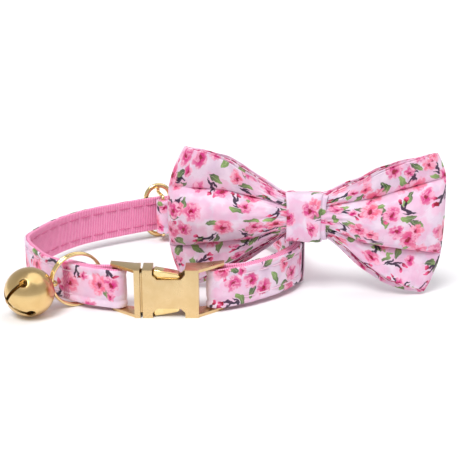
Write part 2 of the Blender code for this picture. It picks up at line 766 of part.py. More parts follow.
def bow_wings(finish):
    """One band of cloth, looped to a wing at each side and gathered into pleats at the knot."""
    loop = wing_loop()
    rows = (-1.0, -0.82, -0.66, -0.54, -0.44, -0.34, -0.22, -0.08, 0.12,
            0.30, 0.42, 0.50, 0.58, 0.67, 0.80, 1.0)
    grid = [[wing_point(out, up, face) for up in rows] for out, face in loop]
    count, high = len(loop), len(rows)
    half = BOW_CLOTH / 2
    sides = ([], [])
    for i in range(count):
        for j in range(high):
            along = grid[(i + 1) % count][j] - grid[i - 1][j]
            rise = grid[i][min(j + 1, high - 1)] - grid[i][max(j - 1, 0)]
            normal = along.cross(rise).normalized()
            sides[0].append(grid[i][j] + normal * half)
            sides[1].append(grid[i][j] - normal * half)
    total = count * high
    faces = []
    for i in range(count):
        m = (i + 1) % count
        for j in range(high - 1):
            a, b, c, d = i * high + j, m * high + j, m * high + j + 1, i * high + j + 1
            faces.append((a, b, c, d))
            faces.append((total + d, total + c, total + b, total + a))
        for j in (0, high - 1):
            faces.append((i * high + j, m * high + j, total + m * high + j, total + i * high + j))
    mesh = mesh_from("bow_wings", sides[0] + sides[1], faces)
    mesh.transform(bow_matrix())
    return new_object("bow_wings", mesh, finish)


def rounded_loop(half_a, half_b, radius, steps=4):
    """Closed rectangle with round corners, as points."""
    points = []
    for ca, cb, start in ((1, 1, 0.0), (-1, 1, 0.5), (-1, -1, 1.0), (1, -1, 1.5)):
        for i in range(steps + 1):
            a = math.pi * (start + 0.5 * i / steps)
            points.append((ca * (half_a - radius) + radius * math.cos(a),
                           cb * (half_b - radius) + radius * math.sin(a)))
    return points


def band(name, outer, inner, low, high, axis):
    """A closed band: the space between two outlines, extruded along an axis."""
    n = len(outer)
    others = [i for i in range(3) if i != axis]
    verts = []
    for level in (low, high):
        for a, b in list(outer) + list(inner):
            v = [0.0, 0.0, 0.0]
            v[axis] = level
            v[others[0]] = a
            v[others[1]] = b
            verts.append(v)
    faces = []
    for i in range(n):
        j = (i + 1) % n
        faces.append((i, j, 2 * n + j, 2 * n + i))
        faces.append((n + i, n + j, 3 * n + j, 3 * n + i))
        faces.append((i, j, n + j, n + i))
        faces.append((2 * n + i, 2 * n + j, 3 * n + j, 3 * n + i))
    return mesh_from(name, verts, faces)


def bow_knot(finish):
    """The band of cloth wrapped round the gathered middle."""
    outer = rounded_loop(KNOT_DEPTH / 2, KNOT_HEIGHT / 2, KNOT_CORNER)
    inner = rounded_loop(KNOT_DEPTH / 2 - BOW_CLOTH, KNOT_HEIGHT / 2 - BOW_CLOTH, KNOT_CORNER - BOW_CLOTH)
    mesh = band("bow_knot", outer, inner, -KNOT_WIDTH / 2, KNOT_WIDTH / 2, 0)
    mesh.transform(Matrix.Translation((0, 0, KNOT_Z)))
    mesh.transform(bow_matrix())
    return new_object("bow_knot", mesh, finish)


def bow_elastic(finish):
    """The loop behind the knot that the doubled strap runs through."""
    knot_back = BOW_Y + KNOT_DEPTH / 2
    lean = math.tan(math.radians(BOW_LEAN_DEG)) * (KNOT_HEIGHT / 2)
    front = knot_back + lean + GAP
    middle_y = front + ELASTIC_WIDTH / 2
    s = min((RIGHT_BAR_S + 0.0002 * i for i in range(300)),
            key=lambda t: abs(LINE.at(t, 0.0).y - middle_y) - LINE.at(t, 0.0).x)
    depth = 2 * LAYER + GAP
    spots = [LINE.at(t, d).x for t in (s - ELASTIC_WIDTH, s, s + ELASTIC_WIDTH) for d in (0.0, depth)]
    low_x = min(spots) - GAP - ELASTIC_THICK
    high_x = max(spots) + GAP + ELASTIC_THICK
    half_x = (high_x - low_x) / 2
    half_z = (ELASTIC_TOP_Z - ELASTIC_BOTTOM_Z) / 2
    outer = rounded_loop(half_x, half_z, ELASTIC_CORNER)
    inner = rounded_loop(half_x - ELASTIC_THICK, half_z - ELASTIC_THICK, ELASTIC_CORNER - ELASTIC_THICK)
    mesh = band("bow_elastic", outer, inner, front, front + ELASTIC_WIDTH, 1)
    mesh.transform(Matrix.Translation(((low_x + high_x) / 2, 0.0, ELASTIC_BOTTOM_Z + half_z)))
    return new_object("bow_elastic", mesh, finish)


def build():
    """Make every piece of the collar."""
    clear_scene()
    gold = gold_finish()
    cotton = print_finish()
    strap_webbing()
    strap_cover()
    buckle_socket(gold)
    buckle_plug(gold)
    levers(gold)
    slider(gold)
    split_ring(gold)
    bell_shell(gold_finish("gold_polish"))
    bell_pellet(material("steel_ball", (0.55, 0.55, 0.57), 0.35, 1.0))
    bow_wings(cotton)
    bow_knot(cotton)
    bow_elastic(elastic_finish())


build()
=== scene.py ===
"""Looks of the cat bow collar: cloth, print, webbing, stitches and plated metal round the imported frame.

The collar stands on its edge as in the photograph. +X runs from the bell to the bow, +Y from the
buckle to the back of the loop, +Z is up. All sizes are in metres.
"""
import json
import logging
import math
from dataclasses import dataclass, field
from enum import Enum
from itertools import product
from typing import Callable, Optional, Sequence

import bmesh
import bpy
from bpy.types import Material, Object
from mathutils import Matrix, Vector, noise

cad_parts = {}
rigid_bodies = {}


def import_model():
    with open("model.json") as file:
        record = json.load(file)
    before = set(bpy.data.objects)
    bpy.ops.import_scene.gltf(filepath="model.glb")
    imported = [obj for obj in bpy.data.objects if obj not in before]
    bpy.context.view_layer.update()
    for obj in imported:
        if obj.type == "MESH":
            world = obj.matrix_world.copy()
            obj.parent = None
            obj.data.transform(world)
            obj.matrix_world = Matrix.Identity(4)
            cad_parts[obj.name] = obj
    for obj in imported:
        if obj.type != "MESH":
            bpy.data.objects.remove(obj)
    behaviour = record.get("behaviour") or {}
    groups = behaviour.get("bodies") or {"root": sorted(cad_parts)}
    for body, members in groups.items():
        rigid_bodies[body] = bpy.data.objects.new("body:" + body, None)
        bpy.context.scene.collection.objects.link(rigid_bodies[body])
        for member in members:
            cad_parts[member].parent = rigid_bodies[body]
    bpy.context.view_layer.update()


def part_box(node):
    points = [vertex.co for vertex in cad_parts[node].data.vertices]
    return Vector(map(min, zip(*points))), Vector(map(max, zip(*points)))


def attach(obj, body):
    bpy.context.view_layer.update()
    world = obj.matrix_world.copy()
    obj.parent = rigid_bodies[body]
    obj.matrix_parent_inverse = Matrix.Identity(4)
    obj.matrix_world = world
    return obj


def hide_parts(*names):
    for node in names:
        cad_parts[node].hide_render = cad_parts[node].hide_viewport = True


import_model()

LOG = logging.getLogger("collar")
COLLAR = "collar"

MM = 0.001
MM_PER_METRE = 1000.0
UP = Vector((0, 0, 1))

# Sizes that several pieces share; the bars' depths are from the strap's outer face
BAR_DEPTH = 0.0033
SLIDER_BAR_DEPTH = 0.0044
WEBBING_WIDTH = 0.0100

# Angles in degrees above which an edge stays crisp
CLOTH_CREASE = 60
WIRE_CREASE = 50
METAL_CREASE = 35
BELL_CREASE = 25

Point = tuple[float, float]
Colour = tuple[float, float, float]


class Face(Enum):
    """Which side of the bow a ply lies on."""

    FRONT = -1.0
    BACK = 1.0


@dataclass(frozen=True)
class Layer:
    """A strip's depths, inwards from the strap's outer face to its middle, and its turns' radii."""

    outer: float
    inner: float
    at_bar: float
    tail: float
    wrap: float
    slider_wrap: float


class Strip(Enum):
    """The two strips that make the strap."""

    COVER = Layer(outer=0.000225, inner=0.00265, at_bar=0.00090, tail=0.00168, wrap=0.00192,
                  slider_wrap=0.00172)
    WEBBING = Layer(outer=0.000925, inner=0.00193, at_bar=0.00162, tail=0.00240, wrap=0.00120,
                    slider_wrap=0.00100)


def ease(t: float) -> float:
    """Return a smooth step from 0 to 1."""
    t = min(1.0, max(0.0, t))
    return t * t * (3.0 - 2.0 * t)


def blend(a: float, b: float, t: float) -> float:
    """Return the value a share t of the way from a to b."""
    return a + (b - a) * t


def srgb(red: int, green: int, blue: int) -> Colour:
    """Return a display colour, 0 to 255 a channel, as linear light."""
    def channel(value: int) -> float:
        """Return one channel as linear light."""
        c = value / 255.0
        return c / 12.92 if c <= 0.04045 else ((c + 0.055) / 1.055) ** 2.4
    return channel(red), channel(green), channel(blue)


class Wire:
    """A value inside a material's node tree, with arithmetic that adds the nodes it needs."""

    def __init__(self, graph: "Graph", socket: object) -> None:
        """Keep the tree and the socket or number.

        Args:
            graph: The tree that the value lives in.
            socket: An output socket or a plain number.
        """
        self.graph = graph
        self.socket = socket

    def op(self, operation: str, *others: object) -> "Wire":
        """Return this value run through a Math node.

        Args:
            operation: The Math node's operation.
            others: The other operands, as wires or numbers.

        Returns:
            The node's result.
        """
        node = self.graph.node("Math", operation=operation)
        for slot, value in zip(node.inputs, (self, *others)):
            self.graph.feed(slot, value)
        return Wire(self.graph, node.outputs[0])

    def __add__(self, other: object) -> "Wire":
        """Return the sum."""
        return self.op("ADD", other)

    def __sub__(self, other: object) -> "Wire":
        """Return the difference."""
        return self.op("SUBTRACT", other)

    def __mul__(self, other: object) -> "Wire":
        """Return the product."""
        return self.op("MULTIPLY", other)

    def __truediv__(self, other: object) -> "Wire":
        """Return the quotient."""
        return self.op("DIVIDE", other)

    def abs(self) -> "Wire":
        """Return the value without its sign."""
        return self.op("ABSOLUTE")

    def wave(self) -> "Wire":
        """Return the sine."""
        return self.op("SINE")

    def power(self, exponent: float) -> "Wire":
        """Return the value raised to a power."""
        return self.op("POWER", exponent)

    def above(self, low: float, high: float) -> "Wire":
        """Return a smooth step: 0 at or below low, 1 at or above high."""
        start, end = (0.0, 1.0) if low < high else (1.0, 0.0)
        inputs = {"Value": self, "From Min": min(low, high), "From Max": max(low, high),
                  "To Min": start, "To Max": end}
        node = self.graph.node("MapRange", inputs, interpolation_type="SMOOTHSTEP")
        return Wire(self.graph, node.outputs["Result"])


class Graph:
    """A material's node tree with short calls for the nodes that the finishes use."""

    def __init__(self, name: str) -> None:
        """Start an empty Principled material.

        Args:
            name: The material's name.
        """
        self.material: Material = bpy.data.materials.new(name)
        self.material.use_nodes = True
        self.tree = self.material.node_tree
        self.shader = self.tree.nodes["Principled BSDF"]

    def node(self, kind: str, inputs: Optional[dict] = None, **settings: object) -> bpy.types.Node:
        """Add a shader node.

        Args:
            kind: The node's type, without its common first part.
            inputs: Its inputs' names or numbers, each with a wire or a plain value.
            settings: Its own settings.

        Returns:
            The node.
        """
        node = self.tree.nodes.new("ShaderNode" + kind)
        for key, value in settings.items():
            setattr(node, key, value)
        for key, value in (inputs or {}).items():
            self.feed(node.inputs[key], value)
        return node

    def feed(self, slot: object, value: object) -> None:
        """Link a wire to an input, or set a plain value on it."""
        if isinstance(value, Wire):
            value = value.socket
        if isinstance(value, (int, float)):
            slot.default_value = value
        elif isinstance(value, (tuple, list)):
            slot.default_value = (*value, 1.0)[:len(slot.default_value)]
        else:
            self.tree.links.new(slot, value)

    def set(self, **values: float) -> None:
        """Set fixed numbers on the shader's own sockets, named with _ for a space."""
        for key, value in values.items():
            self.shader.inputs[key.replace("_", " ")].default_value = value

    def uv(self) -> Wire:
        """Return the cloth coordinates, in millimetres along and across the cloth."""
        node = self.node("UVMap", uv_map="cloth")
        return self.vector("SCALE", Wire(self, node.outputs["UV"]), MM_PER_METRE)

    def place(self, scale: float = MM_PER_METRE) -> Wire:
        """Return Object coordinates, in millimetres unless another scale is given."""
        return self.vector("SCALE", Wire(self, self.node("TexCoord").outputs["Object"]), scale)

    def vector(self, operation: str, a: Wire, b: object) -> Wire:
        """Return a Vector Math result; a number b is a scale, a tuple or wire b an operand."""
        second = "Scale" if operation == "SCALE" else 1
        return Wire(self, self.node("VectorMath", {0: a, second: b}, operation=operation).outputs[0])

    def split(self, vector: Wire) -> tuple[Wire, Wire, Wire]:
        """Return a vector's or colour's three channels."""
        return tuple(Wire(self, out) for out in self.node("SeparateXYZ", {0: vector}).outputs)

    def noise(self, vector: Wire, scale: float, detail: float = 2.0, output: str = "Fac") -> Wire:
        """Return a position's noise: one value, 0 to 1, or three with the output Color."""
        node = self.node("TexNoise", {"Vector": vector, "Scale": scale, "Detail": detail})
        return Wire(self, node.outputs[output])

    def cells(self, vector: Wire, randomness: float) -> tuple[Wire, Wire]:
        """Return the nearest cell's centre and its random colour, in unit cells."""
        node = self.node("TexVoronoi", {"Vector": vector, "Scale": 1.0, "Randomness": randomness},
                         voronoi_dimensions="2D")
        return Wire(self, node.outputs["Position"]), Wire(self, node.outputs["Color"])

    def turned(self, vector: Wire, angle: object) -> Wire:
        """Return a vector turned about Z by an angle in radians."""
        node = self.node("VectorRotate", {"Vector": vector, "Angle": angle}, rotation_type="Z_AXIS")
        return Wire(self, node.outputs[0])

    def length(self, vector: Wire) -> Wire:
        """Return a vector's length."""
        result = self.vector("LENGTH", vector, (0.0, 0.0, 0.0))
        return Wire(self, result.socket.node.outputs["Value"])

    def wobbled(self, vector: Wire, scale: float, amount: float) -> Wire:
        """Return a position moved about by soft noise, as paint runs in wet cloth."""
        drift = self.vector("SUBTRACT", self.noise(vector, scale, output="Color"), (0.5, 0.5, 0.5))
        return self.vector("ADD", vector, self.vector("SCALE", drift, amount))

    def mix(self, share: object, a: object, b: object) -> Wire:
        """Return colour a, with a share of colour b over it."""
        return Wire(self, self.node("Mix", {0: share, 6: a, 7: b}, data_type="RGBA").outputs[2])

    def bump(self, height: Wire, distance: float, strength: float = 1.0) -> None:
        """Raise the surface by a height, 0 to 1, times a distance."""
        node = self.node("Bump", {"Strength": strength, "Distance": distance, "Height": height})
        self.tree.links.new(self.shader.inputs["Normal"], node.outputs["Normal"])

    def colour(self, value: object) -> None:
        """Set or link the base colour."""
        self.feed(self.shader.inputs["Base Color"], value)


def clear_selection() -> None:
    """Deselect every object."""
    for obj in bpy.data.objects:
        obj.select_set(False)


def make_active(obj: Object) -> None:
    """Select one object alone and make it the active one."""
    clear_selection()
    obj.select_set(True)
    bpy.context.view_layer.objects.active = obj


def mesh_piece(name: str, verts: Sequence, faces: Sequence, uvs: Optional[Sequence] = None) -> Object:
    """Make a closed mesh object with its normals outwards.

    Args:
        name: The piece's name.
        verts: Points in metres.
        faces: Index lists.
        uvs: Cloth coordinates of each point, or one list of corners for each face.

    Returns:
        The object, linked to the scene.
    """
    mesh = bpy.data.meshes.new(name)
    mesh.from_pydata([tuple(v) for v in verts], [], faces)
    if uvs is not None:
        layer = mesh.uv_layers.new(name="cloth")
        per_face = len(uvs) == len(faces) and not isinstance(uvs[0][0], (int, float))
        corner = 0
        for index, face in enumerate(faces):
            for k, vertex in enumerate(face):
                layer.data[corner].uv = uvs[index][k] if per_face else uvs[vertex]
                corner += 1
    obj = bpy.data.objects.new(name, mesh)
    bpy.context.scene.collection.objects.link(obj)
    outwards(obj)
    return obj


def outwards(obj: Object) -> None:
    """Turn a closed mesh's faces outwards."""
    work = bmesh.new()
    work.from_mesh(obj.data)
    bmesh.ops.recalc_face_normals(work, faces=work.faces)
    work.to_mesh(obj.data)
    work.free()


def smooth(obj: Object, angle: Optional[float] = None) -> None:
    """Shade a piece smooth, with creases above an angle in degrees if one is given."""
    make_active(obj)
    if angle is None:
        bpy.ops.object.shade_smooth()
    else:
        bpy.ops.object.shade_smooth_by_angle(angle=math.radians(angle))


def apply_modifier(obj: Object, kind: str, **values: object) -> None:
    """Add a modifier, set its values and apply it.

    Args:
        obj: The piece.
        kind: The modifier's type.
        values: Its settings.
    """
    make_active(obj)
    modifier = obj.modifiers.new(kind.lower(), kind)
    for key, value in values.items():
        setattr(modifier, key, value)
    bpy.ops.object.modifier_apply(modifier=modifier.name)


def combine(piece: Object, tool: Object, operation: str = "DIFFERENCE") -> None:
    """Cut a tool's space from a piece, or join it on with UNION, and remove the tool."""
    apply_modifier(piece, "BOOLEAN", operation=operation, solver="EXACT", object=tool)
    bpy.data.objects.remove(tool)


def round_edges(piece: Object, width: float, segments: int, angle: float, **values: object) -> None:
    """Bevel the edges that are sharper than an angle in degrees."""
    apply_modifier(piece, "BEVEL", width=width, segments=segments, limit_method="ANGLE",
                   angle_limit=math.radians(angle), **values)


def dress(obj: Object, finish: Material, body: str = COLLAR,
          nodes: Sequence[str] = ()) -> Object:
    """Give a piece its finish and its body.

    Args:
        obj: The piece.
        finish: Its material.
        body: The body that it rides on.
        nodes: The frame's nodes that it stands for.

    Returns:
        The piece.
    """
    obj.data.materials.clear()
    obj.data.materials.append(finish)
    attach(obj, body)
    if nodes:
        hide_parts(*nodes)
    LOG.info("%s: %d faces, rides on %s", obj.name, len(obj.data.polygons), body)
    return obj


def ring_faces(start: int, count: int, sides: int) -> list[tuple[int, ...]]:
    """Return the faces between rings of points that follow each other.

    Args:
        start: The first ring's first point.
        count: How many rings there are.
        sides: How many points a ring has.

    Returns:
        The faces, ring by ring.
    """
    faces = []
    for a in range(start, start + (count - 1) * sides, sides):
        for k in range(sides):
            m = (k + 1) % sides
            faces.append((a + k, a + m, a + sides + m, a + sides + k))
    return faces


def tube_into(verts: list, faces: list, path: Sequence[Vector], radii: Sequence[float], sides: int,
              up: Vector) -> None:
    """Add a round tube along a path to a growing mesh.

    Args:
        verts: The mesh's points, added to.
        faces: The mesh's faces, added to.
        path: The tube's middle line.
        radii: Its radius at each point.
        sides: How many sides it has.
        up: A direction that the path never runs along.
    """
    start, last = len(verts), len(path) - 1
    for i, point in enumerate(path):
        along = (path[min(last, i + 1)] - path[max(0, i - 1)]).normalized()
        side = along.cross(up).normalized()
        top = side.cross(along).normalized()
        for k in range(sides):
            a = math.tau * k / sides
            verts.append(point + (side * math.cos(a) + top * math.sin(a)) * radii[i])
    faces += ring_faces(start, len(path), sides)
    faces += [tuple(range(end, end + sides)) for end in (start, start + last * sides)]


def wire_piece(name: str, path: Sequence[Vector], radius: float, sides: int, up: Vector) -> Object:
    """Make a piece of round wire.

    Args:
        name: The piece's name.
        path: The wire's middle line.
        radius: Its radius.
        sides: How many sides it has.
        up: A direction that the path never runs along.

    Returns:
        The piece, without a finish.
    """
    verts, faces = [], []
    tube_into(verts, faces, path, [radius] * len(path), sides, up)
    return mesh_piece(name, verts, faces)


def looped_cloth(name: str, verts: Sequence, runs: Sequence[float], across: Sequence[float]) -> Object:
    """Make a sheet that closes on itself.

    Args:
        name: The piece's name.
        verts: Its points, one row across it after another, round the loop.
        runs: The length round the loop at each row, and once more back at the first row.
        across: The place across the cloth of each point in a row.

    Returns:
        The sheet with its cloth coordinates, without a thickness.
    """
    high, count = len(across), len(runs) - 1
    faces, uvs = [], []
    for i in range(count):
        a, b = i * high, (i + 1) % count * high
        for j in range(high - 1):
            faces.append((a + j, b + j, b + j + 1, a + j + 1))
            uvs.append(((runs[i], across[j]), (runs[i + 1], across[j]),
                        (runs[i + 1], across[j + 1]), (runs[i], across[j + 1])))
    return mesh_piece(name, verts, faces, uvs)


def lengths_round(points: Sequence[Vector]) -> list[float]:
    """Return the length from the first point to each point of a closed line, and all the way round."""
    lengths = [0.0]
    for here, after in zip(points, [*points[1:], points[0]]):
        lengths.append(lengths[-1] + (after - here).length)
    return lengths


@dataclass
class Station:
    """One place on a strip's middle line."""

    point: Vector
    length: float
    run: float = 0.0


@dataclass
class StrapPath:
    """The loop's outer face seen from above, and the places on it that hold hardware.

    The outline rows are (share across, share back) of the loop's half sizes, counter-clockwise from
    the front.
    """

    centre: Point = (-0.01695, 0.0030)
    half_width: float = 0.03635
    half_depth: float = 0.0317
    lift_at_buckle: float = 0.0008
    lift_at_slider: float = 0.0027
    right_bar_x: float = -0.0019
    left_bar_x: float = -0.0274
    slider_x: float = -0.0204
    aim: float = 0.0012
    samples: int = 24
    outline: tuple = (
        (0.060, -1.010), (0.414, -0.968), (0.648, -0.811), (0.829, -0.640), (0.961, -0.432),
        (1.000, -0.218), (0.981, 0.098), (0.860, 0.476), (0.637, 0.792), (0.307, 0.978),
        (-0.098, 0.912), (-0.400, 0.729), (-0.706, 0.476), (-0.937, 0.066), (-0.997, -0.170),
        (-0.884, -0.492), (-0.777, -0.662), (-0.596, -0.811), (-0.310, -0.965),
    )
    points: list = field(default_factory=list)

    def __post_init__(self) -> None:
        """Run a smooth curve through the outline and find the hardware's places on it."""
        corners = [Vector((self.centre[0] + a * self.half_width, self.centre[1] + b * self.half_depth))
                   for a, b in self.outline]
        count = len(corners)
        for i in range(count):
            p0, p1, p2, p3 = (corners[(i + k) % count] for k in (-1, 0, 1, 2))
            d0, d1, d2 = (p1 - p0).length, (p2 - p1).length, (p3 - p2).length
            m1 = d1 * ((p1 - p0) / d0 * d1 + (p2 - p1) / d1 * d0) / (d0 + d1)
            m2 = d1 * ((p2 - p1) / d1 * d2 + (p3 - p2) / d2 * d1) / (d1 + d2)
            for k in range(self.samples):
                t = k / self.samples
                self.points.append((2 * t ** 3 - 3 * t ** 2 + 1) * p1 + (t ** 3 - 2 * t ** 2 + t) * m1
                                   + (3 * t ** 2 - 2 * t ** 3) * p2 + (t ** 3 - t ** 2) * m2)
        self.lengths = lengths_round(self.points)
        self.total = self.lengths[-1]
        self.right_bar = self.find_x(self.right_bar_x, BAR_DEPTH, 0.02, 0.15)
        self.left_bar = self.find_x(self.left_bar_x, BAR_DEPTH, 0.85, 0.98)
        self.slider = self.find_x(self.slider_x, 0.0, 0.50, 0.66)

    def raw(self, s: float) -> Vector:
        """Return the outer face's point at a length."""
        s = s % self.total
        low, high = 0, len(self.points)
        while high - low > 1:
            mid = (low + high) // 2
            if self.lengths[mid] <= s:
                low = mid
            else:
                high = mid
        t = (s - self.lengths[low]) / (self.lengths[low + 1] - self.lengths[low])
        return self.points[low].lerp(self.points[(low + 1) % len(self.points)], t)

    def along(self, s: float) -> Vector:
        """Return the strap's direction at a length."""
        return (self.raw(s + self.aim) - self.raw(s - self.aim)).normalized()

    def inward(self, s: float) -> Vector:
        """Return the direction into the loop at a length."""
        t = self.along(s)
        return Vector((-t.y, t.x))

    def at(self, s: float, depth: float) -> Vector:
        """Return the point a depth inside the outer face at a length."""
        return self.raw(s) + self.inward(s) * depth

    def find_x(self, x: float, depth: float, low: float, high: float) -> float:
        """Return the length, between two shares of the loop, where the line has this x."""
        tries = [self.total * (low + (high - low) * i / 600) for i in range(601)]
        return min(tries, key=lambda s: abs(self.at(s, depth).x - x))

    def lift(self, s: float) -> float:
        """Return the height of the webbing's lower edge at a length."""
        if s <= self.slider:
            t = (s - self.right_bar) / (self.slider - self.right_bar)
        else:
            t = (self.left_bar - s) / (self.left_bar - self.slider)
        t = min(1.0, max(0.0, t))
        return blend(self.lift_at_buckle, self.lift_at_slider, t ** 0.8)


@dataclass
class Strap:
    """The strap: a printed cotton face sewn on ribbed webbing, doubled on the right side."""

    path: StrapPath
    cover_width: float = 0.0097
    cover_thick: float = 0.00045
    webbing_thick: float = 0.00095
    right_reach: float = 0.00345
    left_reach: float = 0.00267
    bar_ease: float = 0.0080
    slider_ease: float = 0.005
    tail: float = 0.0070
    tail_step: float = 0.00144
    tab: float = 0.0132
    rib: float = 0.00055
    rib_height: float = 0.00005
    stitch_row: float = 0.0030
    stitch_pitch: float = 0.0042
    stitch_length: float = 0.0034
    stitch_free: float = 0.012
    first_stitch: float = 0.007
    first_inner_stitch: float = 0.008
    thread: float = 0.00015
    hem: float = 0.00010
    pucker: float = 0.00005
    crease: float = 0.00006
    seam_x: float = -0.0398
    seam_columns: tuple = (-0.00065, 0.0, 0.00065)
    seam_height: float = 0.0086
    seam_sway: float = 0.00022

    def outer_depth(self, strip: Strip, s: float) -> float:
        """Return a strip's depth on the outer run, eased inwards towards the buckle's bars."""
        near = 1.0 - ease(min(s - self.path.right_bar, self.path.left_bar - s) / self.bar_ease)
        return blend(strip.value.outer, strip.value.at_bar, near)

    def inner_depth(self, strip: Strip, s: float) -> float:
        """Return a strip's depth on the doubled right side."""
        near_bar = 1.0 - ease((s - self.path.right_bar) / self.bar_ease)
        from_slider = self.path.slider - s
        over_tail = 1.0 - ease((from_slider - self.tail + 0.001) / 0.004)
        near_slider = 1.0 - ease(from_slider / self.slider_ease)
        depth = strip.value.inner + self.tail_step * over_tail
        depth = blend(depth, BAR_DEPTH + strip.value.wrap, near_bar)
        return blend(depth, SLIDER_BAR_DEPTH + strip.value.slider_wrap, near_slider)

    def tail_depth(self, strip: Strip, s: float) -> float:
        """Return the depth of the strip's end, sewn down between the two runs."""
        near = 1.0 - ease((self.path.slider - s) / self.slider_ease)
        return blend(strip.value.tail, SLIDER_BAR_DEPTH - strip.value.slider_wrap, near)

    def tab_depth(self, strip: Strip, s: float) -> float:
        """Return the depth of the end folded round the left bar and sewn back."""
        near = 1.0 - ease((self.path.left_bar - s) / self.bar_ease)
        return blend(strip.value.inner, BAR_DEPTH + strip.value.wrap, near)

    def straight(self, start: float, end: float, depth: Callable[[float], float],
                 step: float) -> list[Station]:
        """Return stations along the loop between two lengths."""
        count = max(2, round(abs(end - start) / step))
        lengths = [start + (end - start) * i / count for i in range(count + 1)]
        return [Station(self.path.at(s, depth(s)), s) for s in lengths]

    def turn(self, s: float, low: float, high: float, reach: float, step: float) -> list[Station]:
        """Return stations of a half turn round a bar, from the outer side to the inner side.

        Args:
            s: The length at the bar.
            low: The depth where the turn starts.
            high: The depth where it ends.
            reach: How far past the bar it goes; below zero it goes the other way along the loop.
            step: The spacing of the stations.

        Returns:
            The stations between the two ends.
        """
        centre, radius = self.path.at(s, (low + high) / 2), (high - low) / 2
        inward, along = self.path.inward(s), self.path.along(s)
        count = max(6, round(math.pi * max(radius, abs(reach)) / step))
        angles = [math.pi * i / count for i in range(1, count)]
        return [Station(centre - inward * math.cos(a) * radius + along * math.sin(a) * reach, s)
                for a in angles]

    def line(self, strip: Strip, step: float) -> list[Station]:
        """Return a strip's whole middle line, from the sewn tail to the sewn tab.

        Args:
            strip: Which strip.
            step: The spacing of its stations.

        Returns:
            The stations, each with its length along the strip.
        """
        path, wrap, slack = self.path, strip.value.wrap, strip.value.slider_wrap
        low, high = self.outer_depth(strip, path.right_bar), BAR_DEPTH + wrap
        less = Strip.COVER.value.wrap - wrap

        def run(start: float, end: float, depth: Callable[[Strip, float], float]) -> list[Station]:
            """Return this strip's stations along the loop between two lengths."""
            return self.straight(start, end, lambda s: depth(strip, s), step)

        line = run(path.slider - self.tail, path.slider, self.tail_depth)
        line += self.turn(path.slider, SLIDER_BAR_DEPTH - slack, SLIDER_BAR_DEPTH + slack, slack, step)
        line += run(path.slider, path.right_bar, self.inner_depth)
        line += reversed(self.turn(path.right_bar, low, high, less - self.right_reach, step))
        line += run(path.right_bar, path.left_bar, self.outer_depth)
        line += self.turn(path.left_bar, low, high, self.left_reach - less, step)
        line += run(path.left_bar, path.left_bar - self.tab, self.tab_depth)
        for before, here in zip(line, line[1:]):
            here.run = before.run + (here.point - before.point).length
        return line

    def strip_mesh(self, name: str, line: list[Station], width: float,
                   section: Callable[[float, float], Point], half: Sequence[float]) -> Object:
        """Make a closed strip on edge along a line.

        Args:
            name: The piece's name.
            line: Its stations.
            width: Its width, upright.
            section: Gives (outer, inner) offsets from the middle for a run length and a row.
            half: Shares across the width, 0 to 0.5, of the rows of points on each side.

        Returns:
            The object with its cloth coordinates.
        """
        verts, uvs = [], []
        rows = [-row for row in reversed(half[1:])] + list(half)
        ring = 2 * len(rows)
        for i, station in enumerate(line):
            before, after = line[max(0, i - 1)].point, line[min(len(line) - 1, i + 1)].point
            along = (after - before).normalized()
            side = Vector((-along.y, along.x))
            middle = self.path.lift(station.length) + WEBBING_WIDTH / 2
            pairs = [section(station.run, row) for row in rows]
            loop = [(row, pair[0]) for row, pair in zip(rows, pairs)]
            loop += [(row, pair[1]) for row, pair in zip(reversed(rows), reversed(pairs))]
            for row, offset in loop:
                place = station.point + side * offset
                verts.append((place.x, place.y, middle + row * width))
                uvs.append((station.run, row * width))
        faces = ring_faces(0, len(line), ring)
        for a in (0, (len(line) - 1) * ring):
            for k in range(len(rows) - 1):
                faces.append((a + k, a + k + 1, a + ring - 2 - k, a + ring - 1 - k))
        return mesh_piece(name, verts, faces, uvs)

    @staticmethod
    def roll(row: float, share: float) -> float:
        """Return how much thickness a row keeps, rounded off over a share of the width."""
        return math.sqrt(max(0.0, 1.0 - (1.0 - min(1.0, (0.5 - abs(row)) / share)) ** 2))

    def pull(self, run: float, across: float, reach: float, even: float, swing: float) -> float:
        """Return how far the stitches pull a face in.

        Args:
            run: The length along the strip.
            across: The distance from its middle.
            reach: How far from the stitch row the pull is felt.
            even: The pull all along the row.
            swing: How much it grows and shrinks with each stitch.

        Returns:
            The pull in metres.
        """
        off_row = (across - self.stitch_row) / reach
        beat = math.cos(math.tau * run / self.stitch_pitch)
        return (even + swing * beat) * math.exp(-off_row ** 2)

    def cover_section(self, run: float, row: float) -> Point:
        """Return the cotton's faces at a place: rolled hems, pulled in along the stitches."""
        half, roll = self.cover_thick / 2, self.roll(row, 0.03)
        hem = self.hem * math.exp(-((0.5 - abs(row) - 0.07) / 0.07) ** 2)
        pull = self.pull(run, abs(row) * self.cover_width, 0.00045, 0.00016, 0.00008)
        phase = math.tau * run / self.stitch_pitch + 2.0 * row
        pucker = self.pucker * math.sin(phase) * (abs(row) * 2) ** 3
        crease = self.crease * (noise.noise(Vector((run * 260.0, row * 3.0, 2.0))))
        outer = (half + hem - pull) * roll
        return -outer + pucker + crease, half * roll * 0.9 + pucker + crease

    def webbing_section(self, run: float, row: float) -> Point:
        """Return the webbing's faces at a place: ribs, a round selvedge, sunk stitches."""
        rib = self.rib_height * math.cos(math.tau * run / self.rib)
        pull = self.pull(run, abs(row) * WEBBING_WIDTH, 0.0004, 0.00006, 0.00005)
        body = (self.webbing_thick / 2 - self.rib_height + rib - pull) * self.roll(row, 0.035)
        return -body, body

